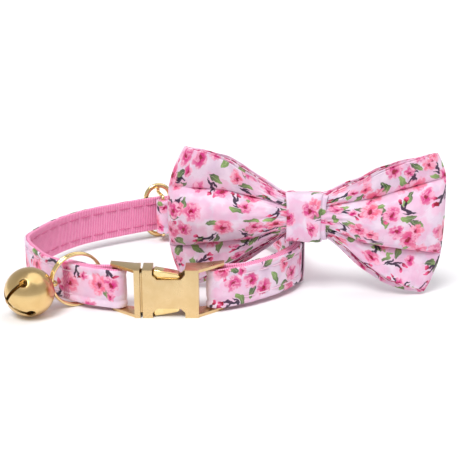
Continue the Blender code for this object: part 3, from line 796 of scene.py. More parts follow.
    def build_cover(self, finish: Material) -> Object:
        """Build the printed cotton face."""
        half = (0.0, 0.10, 0.20, 0.26, 0.29, 0.316, 0.342, 0.37, 0.41, 0.45, 0.475, 0.49, 0.497, 0.5)
        line = self.line(Strip.COVER, self.rib)
        piece = self.strip_mesh("strap_cotton", line, self.cover_width, self.cover_section, half)
        smooth(piece)
        return dress(piece, finish, nodes=("strap_cover",))

    def build_webbing(self, finish: Material) -> Object:
        """Build the ribbed webbing."""
        half = (0.0, 0.2, 0.27, 0.30, 0.33, 0.40, 0.46, 0.485, 0.5)
        line = self.line(Strip.WEBBING, self.rib / 4)
        piece = self.strip_mesh("strap_ribbed_webbing", line, WEBBING_WIDTH, self.webbing_section, half)
        smooth(piece)
        return dress(piece, finish, nodes=("strap_webbing",))

    def thread_run(self, verts: list, faces: list, s: float, depth: float, row: float,
                   face: float) -> None:
        """Add one stitch, lying along the strap with both ends pulled into it.

        Args:
            verts: The mesh's points, added to.
            faces: The mesh's faces, added to.
            s: The length at its middle.
            depth: The depth of the cloth's face there.
            row: Its height from the strap's middle.
            face: -1 where it lies on the outer side, 1 on the inner side.
        """
        path = []
        shares = (-1.0, -0.92, -0.55, 0.0, 0.55, 0.92, 1.0)
        for share in shares:
            sunk = abs(share) ** 6 * 0.00026 - 0.00005
            at = s + share * self.stitch_length / 2
            place = self.path.at(at, depth - face * sunk)
            path.append(Vector((place.x, place.y, self.path.lift(at) + WEBBING_WIDTH / 2 + row)))
        radii = [self.thread * r for r in (0.5, 0.85, 1.0, 1.0, 1.0, 0.85, 0.5)]
        tube_into(verts, faces, path, radii, 6, UP)

    def build_stitches(self, finish: Material, sunk_finish: Material) -> list[Object]:
        """Build the two stitch rows on the cotton and on the webbing's bare side."""
        path = self.path
        cotton_verts, cotton_faces, web_verts, web_faces = [], [], [], []
        cover, webbing = Strip.COVER.value, Strip.WEBBING.value
        outer_face = cover.outer - self.cover_thick / 2
        bare_face = webbing.outer + self.webbing_thick / 2
        for i in range(int((path.left_bar - path.right_bar - self.stitch_free) / self.stitch_pitch)):
            s = path.right_bar + self.first_stitch + self.stitch_pitch * i
            for row in (-self.stitch_row, self.stitch_row):
                near = self.outer_depth(Strip.COVER, s) - cover.outer
                self.thread_run(cotton_verts, cotton_faces, s, outer_face + near, row, -1.0)
                if s > path.slider + 0.002:
                    near = self.outer_depth(Strip.WEBBING, s) - webbing.outer
                    self.thread_run(web_verts, web_faces, s, bare_face + near, row, 1.0)
        for i in range(int((path.slider - path.right_bar - self.stitch_free) / self.stitch_pitch)):
            s = path.right_bar + self.first_inner_stitch + self.stitch_pitch * i
            depth = self.inner_depth(Strip.COVER, s) + self.cover_thick / 2
            for row in (-self.stitch_row, self.stitch_row):
                self.thread_run(cotton_verts, cotton_faces, s, depth, row, 1.0)
        pieces = []
        for name, verts, faces, thread, slot in (
                ("stitches_on_cotton", cotton_verts, cotton_faces, finish, "print"),
                ("stitches_on_webbing", web_verts, web_faces, sunk_finish, "webbing")):
            piece = mesh_piece(name, verts, faces)
            smooth(piece)
            pieces.append(dress(piece, thread))
        return pieces

    def build_seam(self, finish: Material) -> Object:
        """Build the zigzag seam that holds the folded end, near the split ring."""
        middle = self.path.find_x(self.seam_x, 0.0, 0.80, 0.95)
        level = self.path.lift(middle) + WEBBING_WIDTH / 2
        verts, faces, teeth = [], [], 14
        for column in self.seam_columns:
            points = []
            for i in range(teeth + 1):
                z = -self.seam_height / 2 + self.seam_height * i / teeth
                sway = self.seam_sway * (1 if i % 2 else -1)
                place = self.path.at(middle + column + sway, -0.00006)
                points.append(Vector((place.x, place.y, level + z)))
            tube_into(verts, faces, points, [self.thread * 0.9] * len(points), 6, Vector((0.6, 0.8, 0)))
        piece = mesh_piece("seam_by_ring", verts, faces)
        smooth(piece)
        return dress(piece, finish)

    def build(self, looks: "Looks") -> None:
        """Build the whole strap."""
        self.build_cover(looks.print.material)
        self.build_webbing(looks.webbing.material)
        self.build_stitches(looks.pale_thread.material, looks.pink_thread.material)
        self.build_seam(looks.pink_thread.material)


def copy_of_node(name: str, node: str) -> Object:
    """Copy a frame node's mesh into a new piece, joined at its corners and flat faces made whole.

    Args:
        name: The new piece's name.
        node: The frame node.

    Returns:
        The copy.
    """
    source = bpy.data.objects[node]
    piece = bpy.data.objects.new(name, source.data.copy())
    bpy.context.scene.collection.objects.link(piece)
    make_active(piece)
    bpy.ops.object.mode_set(mode="EDIT")
    bpy.ops.mesh.select_all(action="SELECT")
    bpy.ops.mesh.remove_doubles(threshold=1e-6)
    bpy.ops.mesh.dissolve_limited(angle_limit=math.radians(1.0))
    bpy.ops.mesh.normals_make_consistent(inside=False)
    bpy.ops.object.mode_set(mode="OBJECT")
    return piece


@dataclass
class Buckle:
    """The side-release buckle: notched body, head plate with its arms, and the two squeeze levers.

    Lever outlines are (across, up) in millimetres for the upper lever; the lower one is its mirror.
    """

    edge_round: float = 0.00020
    lever_round: float = 0.00028
    height: float = 0.0121
    pivot: Point = (-0.0193, 0.0091)
    pin_hole: float = 0.0007
    pad_front: float = -0.02985
    pad_back: float = -0.02685
    root: tuple = (
        (-20.35, 9.60), (-20.48, 9.10), (-20.15, 8.25), (-19.30, 7.95), (-18.40, 8.30),
        (-16.80, 8.90), (-15.00, 9.25), (-15.00, 10.60), (-17.30, 10.60), (-18.60, 10.22),
        (-19.30, 10.28), (-20.00, 10.06),
    )
    pad: tuple = (
        (-17.85, 11.20), (-17.80, 10.25), (-17.40, 9.85), (-14.50, 9.60), (-12.20, 9.45),
        (-11.62, 9.70), (-11.48, 10.20), (-11.70, 10.68), (-12.20, 10.95), (-14.50, 11.40),
        (-17.30, 11.93), (-17.70, 11.80),
    )

    def metal(self, name: str, node: str, finish: Material) -> Object:
        """Make one fixed piece from its frame node, with its edges rounded.

        Args:
            name: The piece's name.
            node: The frame node that it stands for.
            finish: Its plating.

        Returns:
            The piece.
        """
        piece = copy_of_node(name, node)
        round_edges(piece, self.edge_round, 3, 28, use_clamp_overlap=True)
        smooth(piece, METAL_CREASE)
        return dress(piece, finish, COLLAR, (node,))

    def plate(self, name: str, outline: tuple, front: float, back: float, upper: bool) -> Object:
        """Make a rounded plate from a lever outline between two depths.

        Args:
            name: The plate's name.
            outline: Its outline in millimetres.
            front: Its front depth.
            back: Its back depth.
            upper: Whether it belongs to the upper lever.

        Returns:
            The plate, without a finish.
        """
        spots = [(x * MM, z * MM if upper else self.height - z * MM) for x, z in outline]
        verts = [(x, y, z) for y in (front, back) for x, z in spots]
        count = len(spots)
        faces = [tuple(range(count)), tuple(range(count, 2 * count))]
        faces += [(k, (k + 1) % count, count + (k + 1) % count, count + k) for k in range(count)]
        return mesh_piece(name, verts, faces)

    def lever(self, name: str, node: str, body: str, upper: bool, finish: Material) -> Object:
        """Make one squeeze lever: a flat root round the pin and a thick, rounded finger pad.

        Args:
            name: The lever's name.
            node: The frame node that it stands for.
            body: The body that it rides on.
            upper: Whether it is the upper lever.
            finish: Its plating.

        Returns:
            The lever.
        """
        low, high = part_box(node)
        piece = self.plate(name, self.root, low[1], high[1], upper)
        clear_selection()
        level = self.pivot[1] if upper else self.height - self.pivot[1]
        bpy.ops.mesh.primitive_cylinder_add(vertices=32, radius=self.pin_hole, depth=0.01,
                                            location=(self.pivot[0], (low[1] + high[1]) / 2, level),
                                            rotation=(math.pi / 2, 0, 0))
        combine(piece, bpy.context.object)
        pad = self.plate("finger_pad", self.pad, self.pad_front, self.pad_back, upper)
        round_edges(pad, self.lever_round, 4, 40, use_clamp_overlap=True)
        combine(piece, pad, "UNION")
        smooth(piece, METAL_CREASE)
        return dress(piece, finish, body, (node,))

    def build(self, looks: "Looks") -> None:
        """Build the buckle's four pieces."""
        satin, bright = looks.satin_gold.material, looks.bright_gold.material
        self.metal("buckle_body", "buckle_socket", satin)
        self.metal("buckle_head", "buckle_plug", satin)
        self.lever("squeeze_lever_upper", "lever_upper", "upper_lever", True, bright)
        self.lever("squeeze_lever_lower", "lever_lower", "lower_lever", False, bright)


@dataclass
class Adjuster:
    """The oval wire slide adjuster, and the bar inside it that holds the strap's end."""

    path: StrapPath
    height: float = 0.0162
    width: float = 0.0086
    wire: float = 0.0007
    bar_wire: float = 0.0005
    clearance: float = 0.0003
    bar_gap: float = 0.0008
    bend: float = 0.0006

    def build_frame(self, finish: Material) -> Object:
        """Build the oval frame from a ring whose upper and lower halves are drawn apart."""
        half_w = self.width / 2 - self.wire
        stretch = (self.height - self.width) / 2
        clear_selection()
        bpy.ops.mesh.primitive_torus_add(major_segments=72, minor_segments=20, major_radius=half_w,
                                         minor_radius=self.wire, rotation=(math.pi / 2, 0, 0))
        piece = bpy.context.object
        piece.name = "adjuster_frame"
        bpy.ops.object.transform_apply(location=True, rotation=True, scale=True)
        for sense in (1.0, -1.0):
            bpy.ops.object.mode_set(mode="EDIT")
            bpy.ops.mesh.select_mode(type="VERT")
            bpy.ops.mesh.select_all(action="DESELECT")
            bpy.ops.object.mode_set(mode="OBJECT")
            for vertex in piece.data.vertices:
                vertex.select = vertex.co.z * sense > 1e-6
            bpy.ops.object.mode_set(mode="EDIT")
            bpy.ops.transform.translate(value=(0, 0, sense * stretch))
            bpy.ops.object.mode_set(mode="OBJECT")
        for vertex in piece.data.vertices:
            vertex.co.y *= 1.0 - 0.12 * ease((abs(vertex.co.z) - stretch) / half_w)
        along = self.path.along(self.path.slider)
        centre = self.path.at(self.path.slider, -(self.clearance + self.wire))
        turn = Matrix(((along.x, -along.y, 0, centre.x), (along.y, along.x, 0, centre.y),
                       (0, 0, 1, self.height / 2), (0, 0, 0, 1)))
        piece.data.transform(turn)
        outwards(piece)
        smooth(piece)
        return dress(piece, finish, nodes=("slider",))

    def build_bar(self, finish: Material) -> Object:
        """Build the bent centre bar that bridges over and under the strap."""
        along = self.path.along(self.path.slider).to_3d()
        start = self.path.at(self.path.slider, -(self.clearance + self.wire)).to_3d()
        end = self.path.at(self.path.slider, SLIDER_BAR_DEPTH).to_3d()
        lift = self.path.lift(self.path.slider)
        ends = ((self.height - self.wire, lift + WEBBING_WIDTH + self.bar_gap),
                (self.wire, lift - self.bar_gap))
        inwards = (end - start).normalized()
        points = []
        for outer, level in ends:
            sense = 1.0 if outer > level else -1.0
            arc = [start + Vector((0, 0, outer))]
            for i in range(7):
                a = math.pi / 2 * i / 6
                arc.append(start + inwards * self.bend * (1 - math.cos(a))
                           + Vector((0, 0, level + sense * self.bend * (1 - math.sin(a)))))
            for i in range(7):
                a = math.pi / 2 * i / 6
                arc.append(end - inwards * self.bend * (1 - math.sin(a))
                           + Vector((0, 0, level - sense * self.bend * (1 - math.cos(a)))))
            points += arc if sense > 0 else list(reversed(arc))
        piece = wire_piece("adjuster_bar", points, self.bar_wire, 16, along)
        smooth(piece, WIRE_CREASE)
        return dress(piece, finish)

    def build(self, looks: "Looks") -> None:
        """Build the adjuster's frame and bar."""
        self.build_frame(looks.bright_gold.material)
        self.build_bar(looks.bright_gold.material)


@dataclass
class SplitRing:
    """The double-turn wire ring round the strap."""

    centre: Vector = field(default_factory=lambda: Vector((-0.0372, -0.02222, 0.0069)))
    turn: float = math.radians(30.0)
    radius: float = 0.0065
    wire: float = 0.00037
    pitch: float = 0.00095

    def level(self) -> Vector:
        """Return the ring's level direction."""
        return Vector((math.cos(self.turn), math.sin(self.turn), 0.0))

    def build(self, looks: "Looks") -> None:
        """Build two turns of wire joined by a short crossing, their ends cut square."""
        level = self.level()
        axis = Vector((-level.y, level.x, 0.0))
        points = []
        steps = 176
        for i in range(steps):
            turns = 2.0 * i / steps
            crossing = ease((turns - 0.93) / 0.14)
            angle = math.tau * turns
            out = level * math.cos(angle) + Vector((0, 0, math.sin(angle)))
            points.append(self.centre + out * self.radius + axis * self.pitch * (crossing - 0.5))
        piece = wire_piece("split_ring_wire", points, self.wire, 16, axis)
        smooth(piece, WIRE_CREASE)
        dress(piece, looks.bright_gold.material, nodes=("split_ring",))


@dataclass
class Bell:
    """The slotted round bell, its eyelet and the ball inside.

    The bell is made about its own axes, +X to the crown, and then put in its place on the ring.
    """

    middle: Vector = field(default_factory=lambda: Vector((-0.04761, -0.02894, 0.00605)))
    crown: Vector = field(default_factory=lambda: Vector((0.8008, 0.5818, 0.1424)))
    radius: float = 0.00602
    wall: float = 0.00042
    flat: float = 0.0052
    slot_width: float = 0.0009
    slot_hole: float = 0.0011
    slot_end: float = math.radians(66.0)
    slot_turn: float = math.radians(38.5)
    edge_round: float = 0.00006
    crown_share: float = 0.3
    eyelet_wire: float = 0.00035
    eyelet_width: float = 0.0026
    eyelet_depth: float = 0.0015
    pellet: float = 0.0016

    def matrix(self) -> Matrix:
        """Return the place of the bell's own axes."""
        crown = self.crown.normalized()
        across = Vector((0, 0, 1)).cross(crown).normalized()
        basis = Matrix((crown, across, crown.cross(across))).transposed().to_4x4()
        return Matrix.Translation(self.middle) @ basis

    def build_shell(self, finish: Material) -> Object:
        """Build the thin shell: a ball with a flattened crown, hollowed, slotted and rounded."""
        clear_selection()
        bpy.ops.mesh.primitive_uv_sphere_add(segments=72, ring_count=40, radius=self.radius,
                                             rotation=(0, math.pi / 2, 0))
        piece = bpy.context.object
        piece.name = "bell_shell_slotted"
        bpy.ops.object.transform_apply(location=True, rotation=True, scale=True)
        for vertex in piece.data.vertices:
            if vertex.co.x > self.flat:
                vertex.co.x = self.flat + (vertex.co.x - self.flat) * self.crown_share
        apply_modifier(piece, "SOLIDIFY", thickness=self.wall, offset=-1.0)
        far = self.radius * 1.2
        reach = self.radius * math.sin(self.slot_end)
        for turn in (self.slot_turn, self.slot_turn + math.pi / 2):
            bpy.ops.mesh.primitive_cube_add(size=1.0)
            tool = bpy.context.object
            depth = far - self.radius * math.cos(self.slot_end)
            tool.data.transform(Matrix.Rotation(turn, 4, "X")
                                @ Matrix.Translation((-far + depth / 2, 0, 0))
                                @ Matrix.Diagonal((depth, 2 * reach, self.slot_width, 1)))
            combine(piece, tool)
        for i in range(4):
            bpy.ops.mesh.primitive_cylinder_add(vertices=32, radius=self.slot_hole,
                                                depth=far - self.radius * 0.6)
            tool = bpy.context.object
            tool.data.transform(Matrix.Rotation(self.slot_turn + math.pi / 2 * (i + 1), 4, "X")
                                @ Matrix.Rotation(-(math.pi / 2 - self.slot_end), 4, "Y")
                                @ Matrix.Translation((0, 0, (far + self.radius * 0.6) / 2)))
            combine(piece, tool)
        round_edges(piece, self.edge_round, 1, 50)
        piece.data.transform(self.matrix())
        smooth(piece, BELL_CREASE)
        apply_modifier(piece, "WEIGHTED_NORMAL", mode="FACE_AREA", weight=90, keep_sharp=True)
        return dress(piece, finish, nodes=("bell_shell",))

    def build_eyelet(self, finish: Material) -> Object:
        """Build the wire eyelet on the crown."""
        half = (self.eyelet_width + 2 * self.eyelet_wire) / 2
        base = self.flat - 0.0003
        top = self.flat + self.eyelet_depth + self.eyelet_wire
        points = [Vector((base, -half, 0))]
        for sense in (-1.0, 1.0):
            arc = []
            for i in range(9):
                a = math.pi / 2 * i / 8
                arc.append(Vector((top - half * (1 - math.sin(a)) * 0.75,
                                   sense * half * (0.25 + 0.75 * math.cos(a)), 0)))
            points += arc if sense < 0 else list(reversed(arc))
        points.append(Vector((base, half, 0)))
        piece = wire_piece("bell_eyelet_wire", points, self.eyelet_wire, 14, UP)
        piece.data.transform(self.matrix())
        smooth(piece)
        return dress(piece, finish)

    def build_pellet(self, finish: Material) -> Object:
        """Build the loose ball, with the small flats that striking leaves on it."""
        clear_selection()
        bpy.ops.mesh.primitive_ico_sphere_add(subdivisions=4, radius=self.pellet)
        piece = bpy.context.object
        piece.name = "bell_ball"
        for vertex in piece.data.vertices:
            dent = noise.noise(vertex.co.normalized() * 2.2)
            vertex.co *= 1.0 - 0.05 * max(0.0, dent)
        drop = self.radius - self.wall - self.pellet - 0.0004
        piece.data.transform(Matrix.Translation(self.middle - Vector((0, 0, drop))))
        smooth(piece)
        return dress(piece, finish, nodes=("bell_pellet",))

    def build(self, looks: "Looks") -> None:
        """Build the bell."""
        self.build_shell(looks.bell_gold.material)
        self.build_eyelet(looks.bell_gold.material)
        self.build_pellet(looks.steel.material)


@dataclass
class Bow:
    """The bow: a looped band of lined cotton gathered under a knot, held on the strap by elastic.

    The wings are made about the bow's own axes: x across, y to the back, z up from the knot's middle.
    """

    place: Vector = field(default_factory=lambda: Vector((0.0191, -0.0126, 0.0214)))
    yaw: float = math.radians(-5.0)
    lean: float = math.radians(4.0)
    half_length: float = 0.0344
    half_depth: float = 0.0044
    drop: float = 0.0023
    sink: float = 0.0008
    knot_height: float = 0.0138
    knot_depth: float = 0.0086
    knot_cloth: float = 0.0005
    knot_slope: float = 0.30
    knot_print_start: float = 0.051
    elastic_cloth: float = 0.0003
    elastic_left: float = 0.0157
    elastic_right: float = 0.01965
    elastic_bottom: float = 0.0005
    fine: int = 7
    plies: int = 4
    edge_cloth: float = 0.0003
    wing_cloth: float = 0.00042
    lining_cloth: float = 0.00034
    lining_inset: float = 0.00062
    deep: tuple = (
        # out, depth as a share of the half depth
        (0.00, 0.36), (0.14, 0.40), (0.27, 0.72), (0.42, 1.00),
        (0.64, 1.05), (0.85, 0.85), (0.96, 0.52), (1.00, 0.28),
    )
    gaps: tuple = (
        # out, opening between the plies along the wing's edges, in metres
        (0.00, 0.0012), (0.20, 0.0030), (0.45, 0.0048), (0.75, 0.0026), (0.95, 0.0014), (1.00, 0.0010),
    )
    left_lines: tuple = (
        # out, then heights in mm of the top edge, upper valley, lower valley and bottom edge
        (0.00, 4.6, 2.9, -2.6, -4.2), (0.14, 4.7, 2.95, -3.05, -4.3), (0.27, 7.5, 4.4, -4.5, -6.3),
        (0.42, 11.4, 5.6, -6.0, -9.1), (0.56, 14.7, 6.9, -6.2, -11.6), (0.70, 16.8, 7.6, -6.5, -13.9),
        (0.85, 18.4, 8.3, -7.0, -15.9), (1.00, 19.3, 8.9, -7.1, -16.9),
    )
    right_lines: tuple = (
        (0.00, 4.6, 2.9, -2.6, -4.2), (0.14, 4.9, 3.1, -2.5, -4.3), (0.27, 7.2, 4.1, -3.9, -6.5),
        (0.42, 10.2, 5.1, -5.8, -9.9), (0.56, 13.3, 6.6, -6.5, -12.9), (0.70, 15.6, 8.8, -6.8, -15.0),
        (0.85, 17.5, 10.9, -7.0, -16.2), (1.00, 18.9, 13.0, -7.3, -16.9),
    )
    back_longer: tuple = (
        # out, how much further the back ply's top edge and bottom edge reach, in mm
        (0.00, 0.9, 1.2), (0.14, 0.9, 1.4), (0.27, 0.9, 2.3), (0.42, 0.2, 3.3),
        (0.56, 0.0, 2.8), (0.70, 0.0, 2.2), (0.85, 0.0, 1.5), (1.00, 0.0, 1.0),
    )
    folds: tuple = (
        # place up the wing (3 top edge, 2 upper valley, 1 lower valley, 0 bottom edge),
        # depth at the knot in mm, depth share at the wing
        (3.00, 1.2, 0.60), (2.62, 1.9, 0.50), (2.30, 2.1, 0.36), (2.07, 1.9, 0.20), (2.00, 0.1, 0.02),
        (1.95, 1.8, 0.34), (1.86, 2.7, 0.76), (1.68, 3.2, 1.00), (1.50, 3.3, 1.06), (1.32, 3.2, 1.00),
        (1.14, 2.9, 0.86), (1.05, 2.3, 0.56), (1.00, 0.1, 0.10), (0.94, 1.5, 0.34), (0.75, 2.0, 0.50),
        (0.40, 1.7, 0.56), (0.00, 1.2, 0.62),
    )
    bulges: tuple = ((0.0047, 0.0034), (0.0027, 0.0034))

    def matrix(self) -> Matrix:
        """Return the place of the bow's own axes."""
        return (Matrix.Translation(self.place) @ Matrix.Rotation(self.yaw, 4, "Z")
                @ Matrix.Rotation(self.lean, 4, "X"))

    @staticmethod
    def through(rows: tuple, column: int, index: int, t: float) -> float:
        """Return a column's smooth value a share t of the way from one row to the next."""
        last = len(rows) - 1
        a, b, c, d = (rows[min(last, max(0, index + k))][column] for k in (-1, 0, 1, 2))
        return 0.5 * (2 * b + (c - a) * t + (2 * a - 5 * b + 4 * c - d) * t * t
                      + (3 * b - a - 3 * c + d) * t ** 3)

    def lookup(self, rows: tuple, column: int, share: float) -> float:
        """Return a table's value, run smoothly through its rows, at a share of the wing's length."""
        index = max(i for i in range(len(rows) - 1) if i == 0 or rows[i][0] <= share)
        t = (share - rows[index][0]) / (rows[index + 1][0] - rows[index][0])
        return self.through(rows, column, index, min(1.0, t))

    def curve(self, row: float, column: int) -> float:
        """Return a fold table's value, run smoothly through its rows."""
        index = min(len(self.folds) - 2, int(row))
        return self.through(self.folds, column, index, row - index)

    def fold_at(self, out: float, row: float, face: Face) -> tuple[float, float, float]:
        """Return height and depth, in metres, of a place on a wing.

        Args:
            out: -1 at the left edge, 0 at the knot, 1 at the right edge.
            row: Row number in the fold table, with a fraction.
            face: The front ply, or the back one whose pleats are shallower.

        Returns:
            Height from the knot's middle, depth from the bow's middle plane, and the place up the wing
            from -1 at the bottom edge to 1 at the top edge.
        """
        share = abs(out)
        opened = ease((share - 0.10) / 0.50)
        lines = self.right_lines if out > 0 else self.left_lines
        level = self.curve(row, 0)
        index = min(2, max(0, int(level)))
        low, high = (self.lookup(lines, 4 - k, share) for k in (index, index + 1))
        height = blend(low, high, level - index) * MM
        up = level / 1.5 - 1.0
        deep = self.lookup(self.deep, 1, share) * self.half_depth
        front = deep * self.curve(row, 2)
        if face is Face.FRONT:
            return height, blend(self.curve(row, 1) * MM, max(front, 0.0002), opened), up
        at_edge = ease((abs(up) - 0.55) / 0.42)
        further = self.lookup(self.back_longer, 1 if up > 0 else 2, share) * MM
        height += math.copysign(further * at_edge, up)
        edge = self.lookup(self.gaps, 1, share) - deep * 0.60
        pleated = deep * (0.58 + 0.30 * self.curve(row, 2))
        at_knot = self.curve(row, 1) * (0.55 * MM)
        return height, blend(at_knot, blend(pleated, edge, at_edge), opened), up

    def wing_point(self, out: float, row: float, face: Face, inset: float) -> Vector:
        """Return a ply's middle at a share across the bow, a fold row and a face.

        Args:
            out: -1 at the left edge, 0 at the knot, 1 at the right edge.
            row: Row number in the fold table.
            face: Which side of the bow.
            inset: How far inside the outer ply this ply lies.

        Returns:
            The place in the bow's own axes.
        """
        share = abs(out)
        height, depth, up = self.fold_at(out, row, face)
        bulge = self.bulges[out > 0][up < 0] * share ** 3 * up * up
        rim = math.sqrt(max(0.0, 1.0 - max(0.0, (share - 0.93) / 0.07) ** 2))
        x = math.copysign(share * (self.half_length - inset) - bulge, out)
        wave = noise.noise(Vector((out * 9.0, row * 0.55, 3.0 + face.value)))
        ripple = 0.0004 * wave * ease(share / 0.3)
        near_knot = math.exp(-((share - 0.22) / 0.12) ** 2)
        crease = 0.0006 * near_knot * noise.noise(Vector((out * 4.0, row * 2.1, 9.0 * face.value)))
        side = (depth + ripple + crease - inset) * rim
        last = len(self.folds) - 1
        if inset > 0.0:
            at_edge = math.exp(-min(row, last - row) / 0.7)
            further = 0.0003 + 0.0003 * noise.noise(Vector((out * 6.0, face.value * 2.0, row)))
            height += math.copysign(further * at_edge * math.sin(math.pi * min(1.0, share * 1.05)), up)
        return Vector((x, face.value * side, height - self.sink - self.drop * share ** 1.5))

    def thicken(self, piece: Object, thickness: float, finish: Material, offset: float = 0.0,
                nodes: Sequence[str] = ()) -> Object:
        """Give a ply its thickness, its place and its finish.

        Args:
            piece: The ply, about the bow's own axes.
            thickness: Its cloth's thickness.
            finish: Its material.
            offset: 0 to thicken it both ways, -1 inwards.
            nodes: The frame's nodes that it stands for.

        Returns:
            The piece.
        """
        apply_modifier(piece, "SOLIDIFY", thickness=thickness, offset=offset, use_even_offset=False)
        piece.data.transform(self.matrix())
        smooth(piece, CLOTH_CREASE)
        return dress(piece, finish, nodes=nodes)

    def build_turned_edges(self, finish: Material) -> Object:
        """Build the turned-in edges: narrow plies stacked between the wings' front and back edges."""
        shares = [0.02 + 0.965 * i / 60 for i in range(61)]
        insides = (0.0, 0.0003, 0.0009, 0.0018, 0.0026)
        across = len(insides)
        rows = ((0.0, 1.0), (float(len(self.folds) - 1), -1.0))
        verts, faces, uvs, spots = [], [], [], []
        for side, (row, up), ply in product((-1.0, 1.0), rows, range(1, self.plies + 1)):
            start, run, before = len(verts), 0.0, None
            for share in shares:
                front = self.wing_point(side * share, row, Face.FRONT, 0.0)
                back = self.wing_point(side * share, row, Face.BACK, 0.0)
                edge = front.lerp(back, ply / (self.plies + 1.0))
                swing = 0.00022 * noise.noise(Vector((side * share * 6.0, ply * 3.7, up)))
                run += (front - before).length if before else 0.0
                before = front
                for inside in insides:
                    verts.append((edge.x, edge.y + inside * 0.10, edge.z - up * (inside + swing)))
                    spots.append((run + 0.021 * ply + 0.045 * side + 0.011 * up, inside))
            for i, k in product(range(len(shares) - 1), range(across - 1)):
                a = start + i * across + k
                faces.append((a, a + across, a + across + 1, a + 1))
                uvs.append(tuple(spots[c] for c in faces[-1]))
        piece = mesh_piece("bow_wings_turned_edges", verts, faces, uvs)
        return self.thicken(piece, self.edge_cloth, finish)

    def build_band(self, name: str, inset: float, thickness: float, finish: Material) -> Object:
        """Build one closed band of the wings' cloth.

        Args:
            name: The piece's name.
            inset: How far inside the outer band it lies.
            thickness: Its cloth's thickness.
            finish: Its material.

        Returns:
            The band, in place.
        """
        shares = [0.03 * i for i in range(5)] + [0.12 + 0.88 * i / 52 for i in range(1, 52)]
        right = [(s, Face.FRONT) for s in shares] + [(1.0, Face.FRONT)]
        right += [(s, Face.BACK) for s in reversed(shares)]
        loop = right + [(-s, f) for s, f in reversed(right)][1:-1]
        rows = [i / self.fine for i in range((len(self.folds) - 1) * self.fine + 1)]
        across = [0.0]
        for low, high in zip(rows, rows[1:]):
            a, b = (self.wing_point(0.75, row, Face.FRONT, inset) for row in (high, low))
            across.append(across[-1] + (a - b).length)
        verts = [self.wing_point(out, row, face, inset) for out, face in loop for row in rows]
        middle = len(rows) / self.fine / 2
        runs = lengths_round([self.wing_point(out, middle, face, inset) for out, face in loop])
        LOG.info("%s: cut cloth %.4f by %.4f", name, runs[-1], across[-1])
        return self.thicken(looped_cloth(name, verts, runs, across), thickness, finish)

    def build_knot(self, finish: Material) -> Object:
        """Build the knot: a folded strip of cloth wrapped round the gathered middle."""
        section = (
            # across, inset from the outer face, in mm; the right end is folded under and looks out
            (-4.35, 1.15), (-4.55, 0.75), (-4.58, 0.40), (-4.45, 0.12), (-4.2, 0.0), (-3.6, 0.02),
            (-2.9, 0.0), (-2.1, 0.0), (-1.3, 0.04), (-0.5, 0.0), (0.4, -0.02), (1.2, 0.0),
            (2.0, 0.04), (2.8, 0.0), (3.5, -0.02), (4.0, 0.04), (4.25, 0.20), (4.30, 0.45),
            (4.22, 0.66), (4.42, 0.74), (4.9, 0.70), (5.35, 0.74), (5.6, 0.95), (5.55, 1.3),
        )
        around, squareness = 144, 0.42
        spots = []
        for i in range(around):
            a = math.tau * i / around + math.pi
            cos, sin = math.cos(a), math.sin(a)
            y = -math.copysign(abs(cos) ** squareness, cos) * self.knot_depth / 2
            z = math.copysign(abs(sin) ** squareness, sin) * self.knot_height / 2
            z *= 1.0 - self.knot_slope * (y / self.knot_depth + 0.5)
            spots.append((Vector((0, y, z)), a))
        verts = []
        for here, a in spots:
            outward = Vector((0, here.y / (self.knot_depth / 2) ** 2,
                              here.z / (self.knot_height / 2) ** 2))
            outward.normalize()
            waist = 1.0 - 0.05 * math.cos(2 * a)
            for x, inset in section:
                soft = 0.00030 * noise.noise(Vector((x * 0.32, here.z * 170.0, here.y * 170.0)))
                pull = 0.00030 * math.exp(-((x + 1.6 + 0.7 * math.sin(a)) / 0.42) ** 2)
                pull += 0.00016 * math.exp(-((x - 1.9 + 0.5 * math.cos(a * 1.5)) / 0.36) ** 2)
                place = Vector((x * MM * waist, here.y, here.z - self.sink))
                verts.append(place + outward * (soft - pull - inset * MM))
        runs = lengths_round([spot for spot, _ in spots])
        across = [0.00105 * (x + 0.5 * inset) + self.knot_print_start for x, inset in section]
        piece = looped_cloth("bow_knot_band", verts, runs, across)
        return self.thicken(piece, self.knot_cloth, finish, -1.0, ("bow_knot",))

    def build_elastic(self, finish: Material) -> Object:
        """Build the woven elastic loop behind the knot that the strap runs through."""
        low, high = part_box("bow_elastic")
        thick = self.elastic_cloth
        left, right = max(low[0], self.elastic_left), min(high[0], self.elastic_right)
        bottom, top = max(low[2], self.elastic_bottom), high[2]
        half_x, half_z = (right - left) / 2 - thick / 2, (top - bottom) / 2 - thick / 2
        centre = Vector(((left + right) / 2, 0, (bottom + top) / 2))
        around, across, corner = 96, 15, 0.0011
        spots = []
        for i in range(around):
            a = math.tau * (i + 0.5) / around + math.pi / 2
            cos, sin = math.cos(a), math.sin(a)
            reach = min(half_x / max(abs(cos), 1e-6), half_z / max(abs(sin), 1e-6))
            x, z = cos * reach, sin * reach
            over_x, over_z = abs(x) - (half_x - corner), abs(z) - (half_z - corner)
            if over_x > 0 and over_z > 0:
                size = math.hypot(over_x, over_z)
                x = math.copysign(half_x - corner + over_x / size * corner, x)
                z = math.copysign(half_z - corner + over_z / size * corner, z)
            spots.append(Vector((x, 0, z)))
        depths = [blend(low[1], high[1], j / (across - 1)) for j in range(across)]
        verts = [centre + here + Vector((0, y, 0)) for here in spots for y in depths]
        piece = looped_cloth("bow_elastic_band", verts, lengths_round(spots), depths)
        apply_modifier(piece, "SOLIDIFY", thickness=thick, offset=0.0, use_even_offset=True)
        round_edges(piece, thick / 2, 2, 60)
        smooth(piece, WIRE_CREASE)
        return dress(piece, finish, nodes=("bow_elastic",))

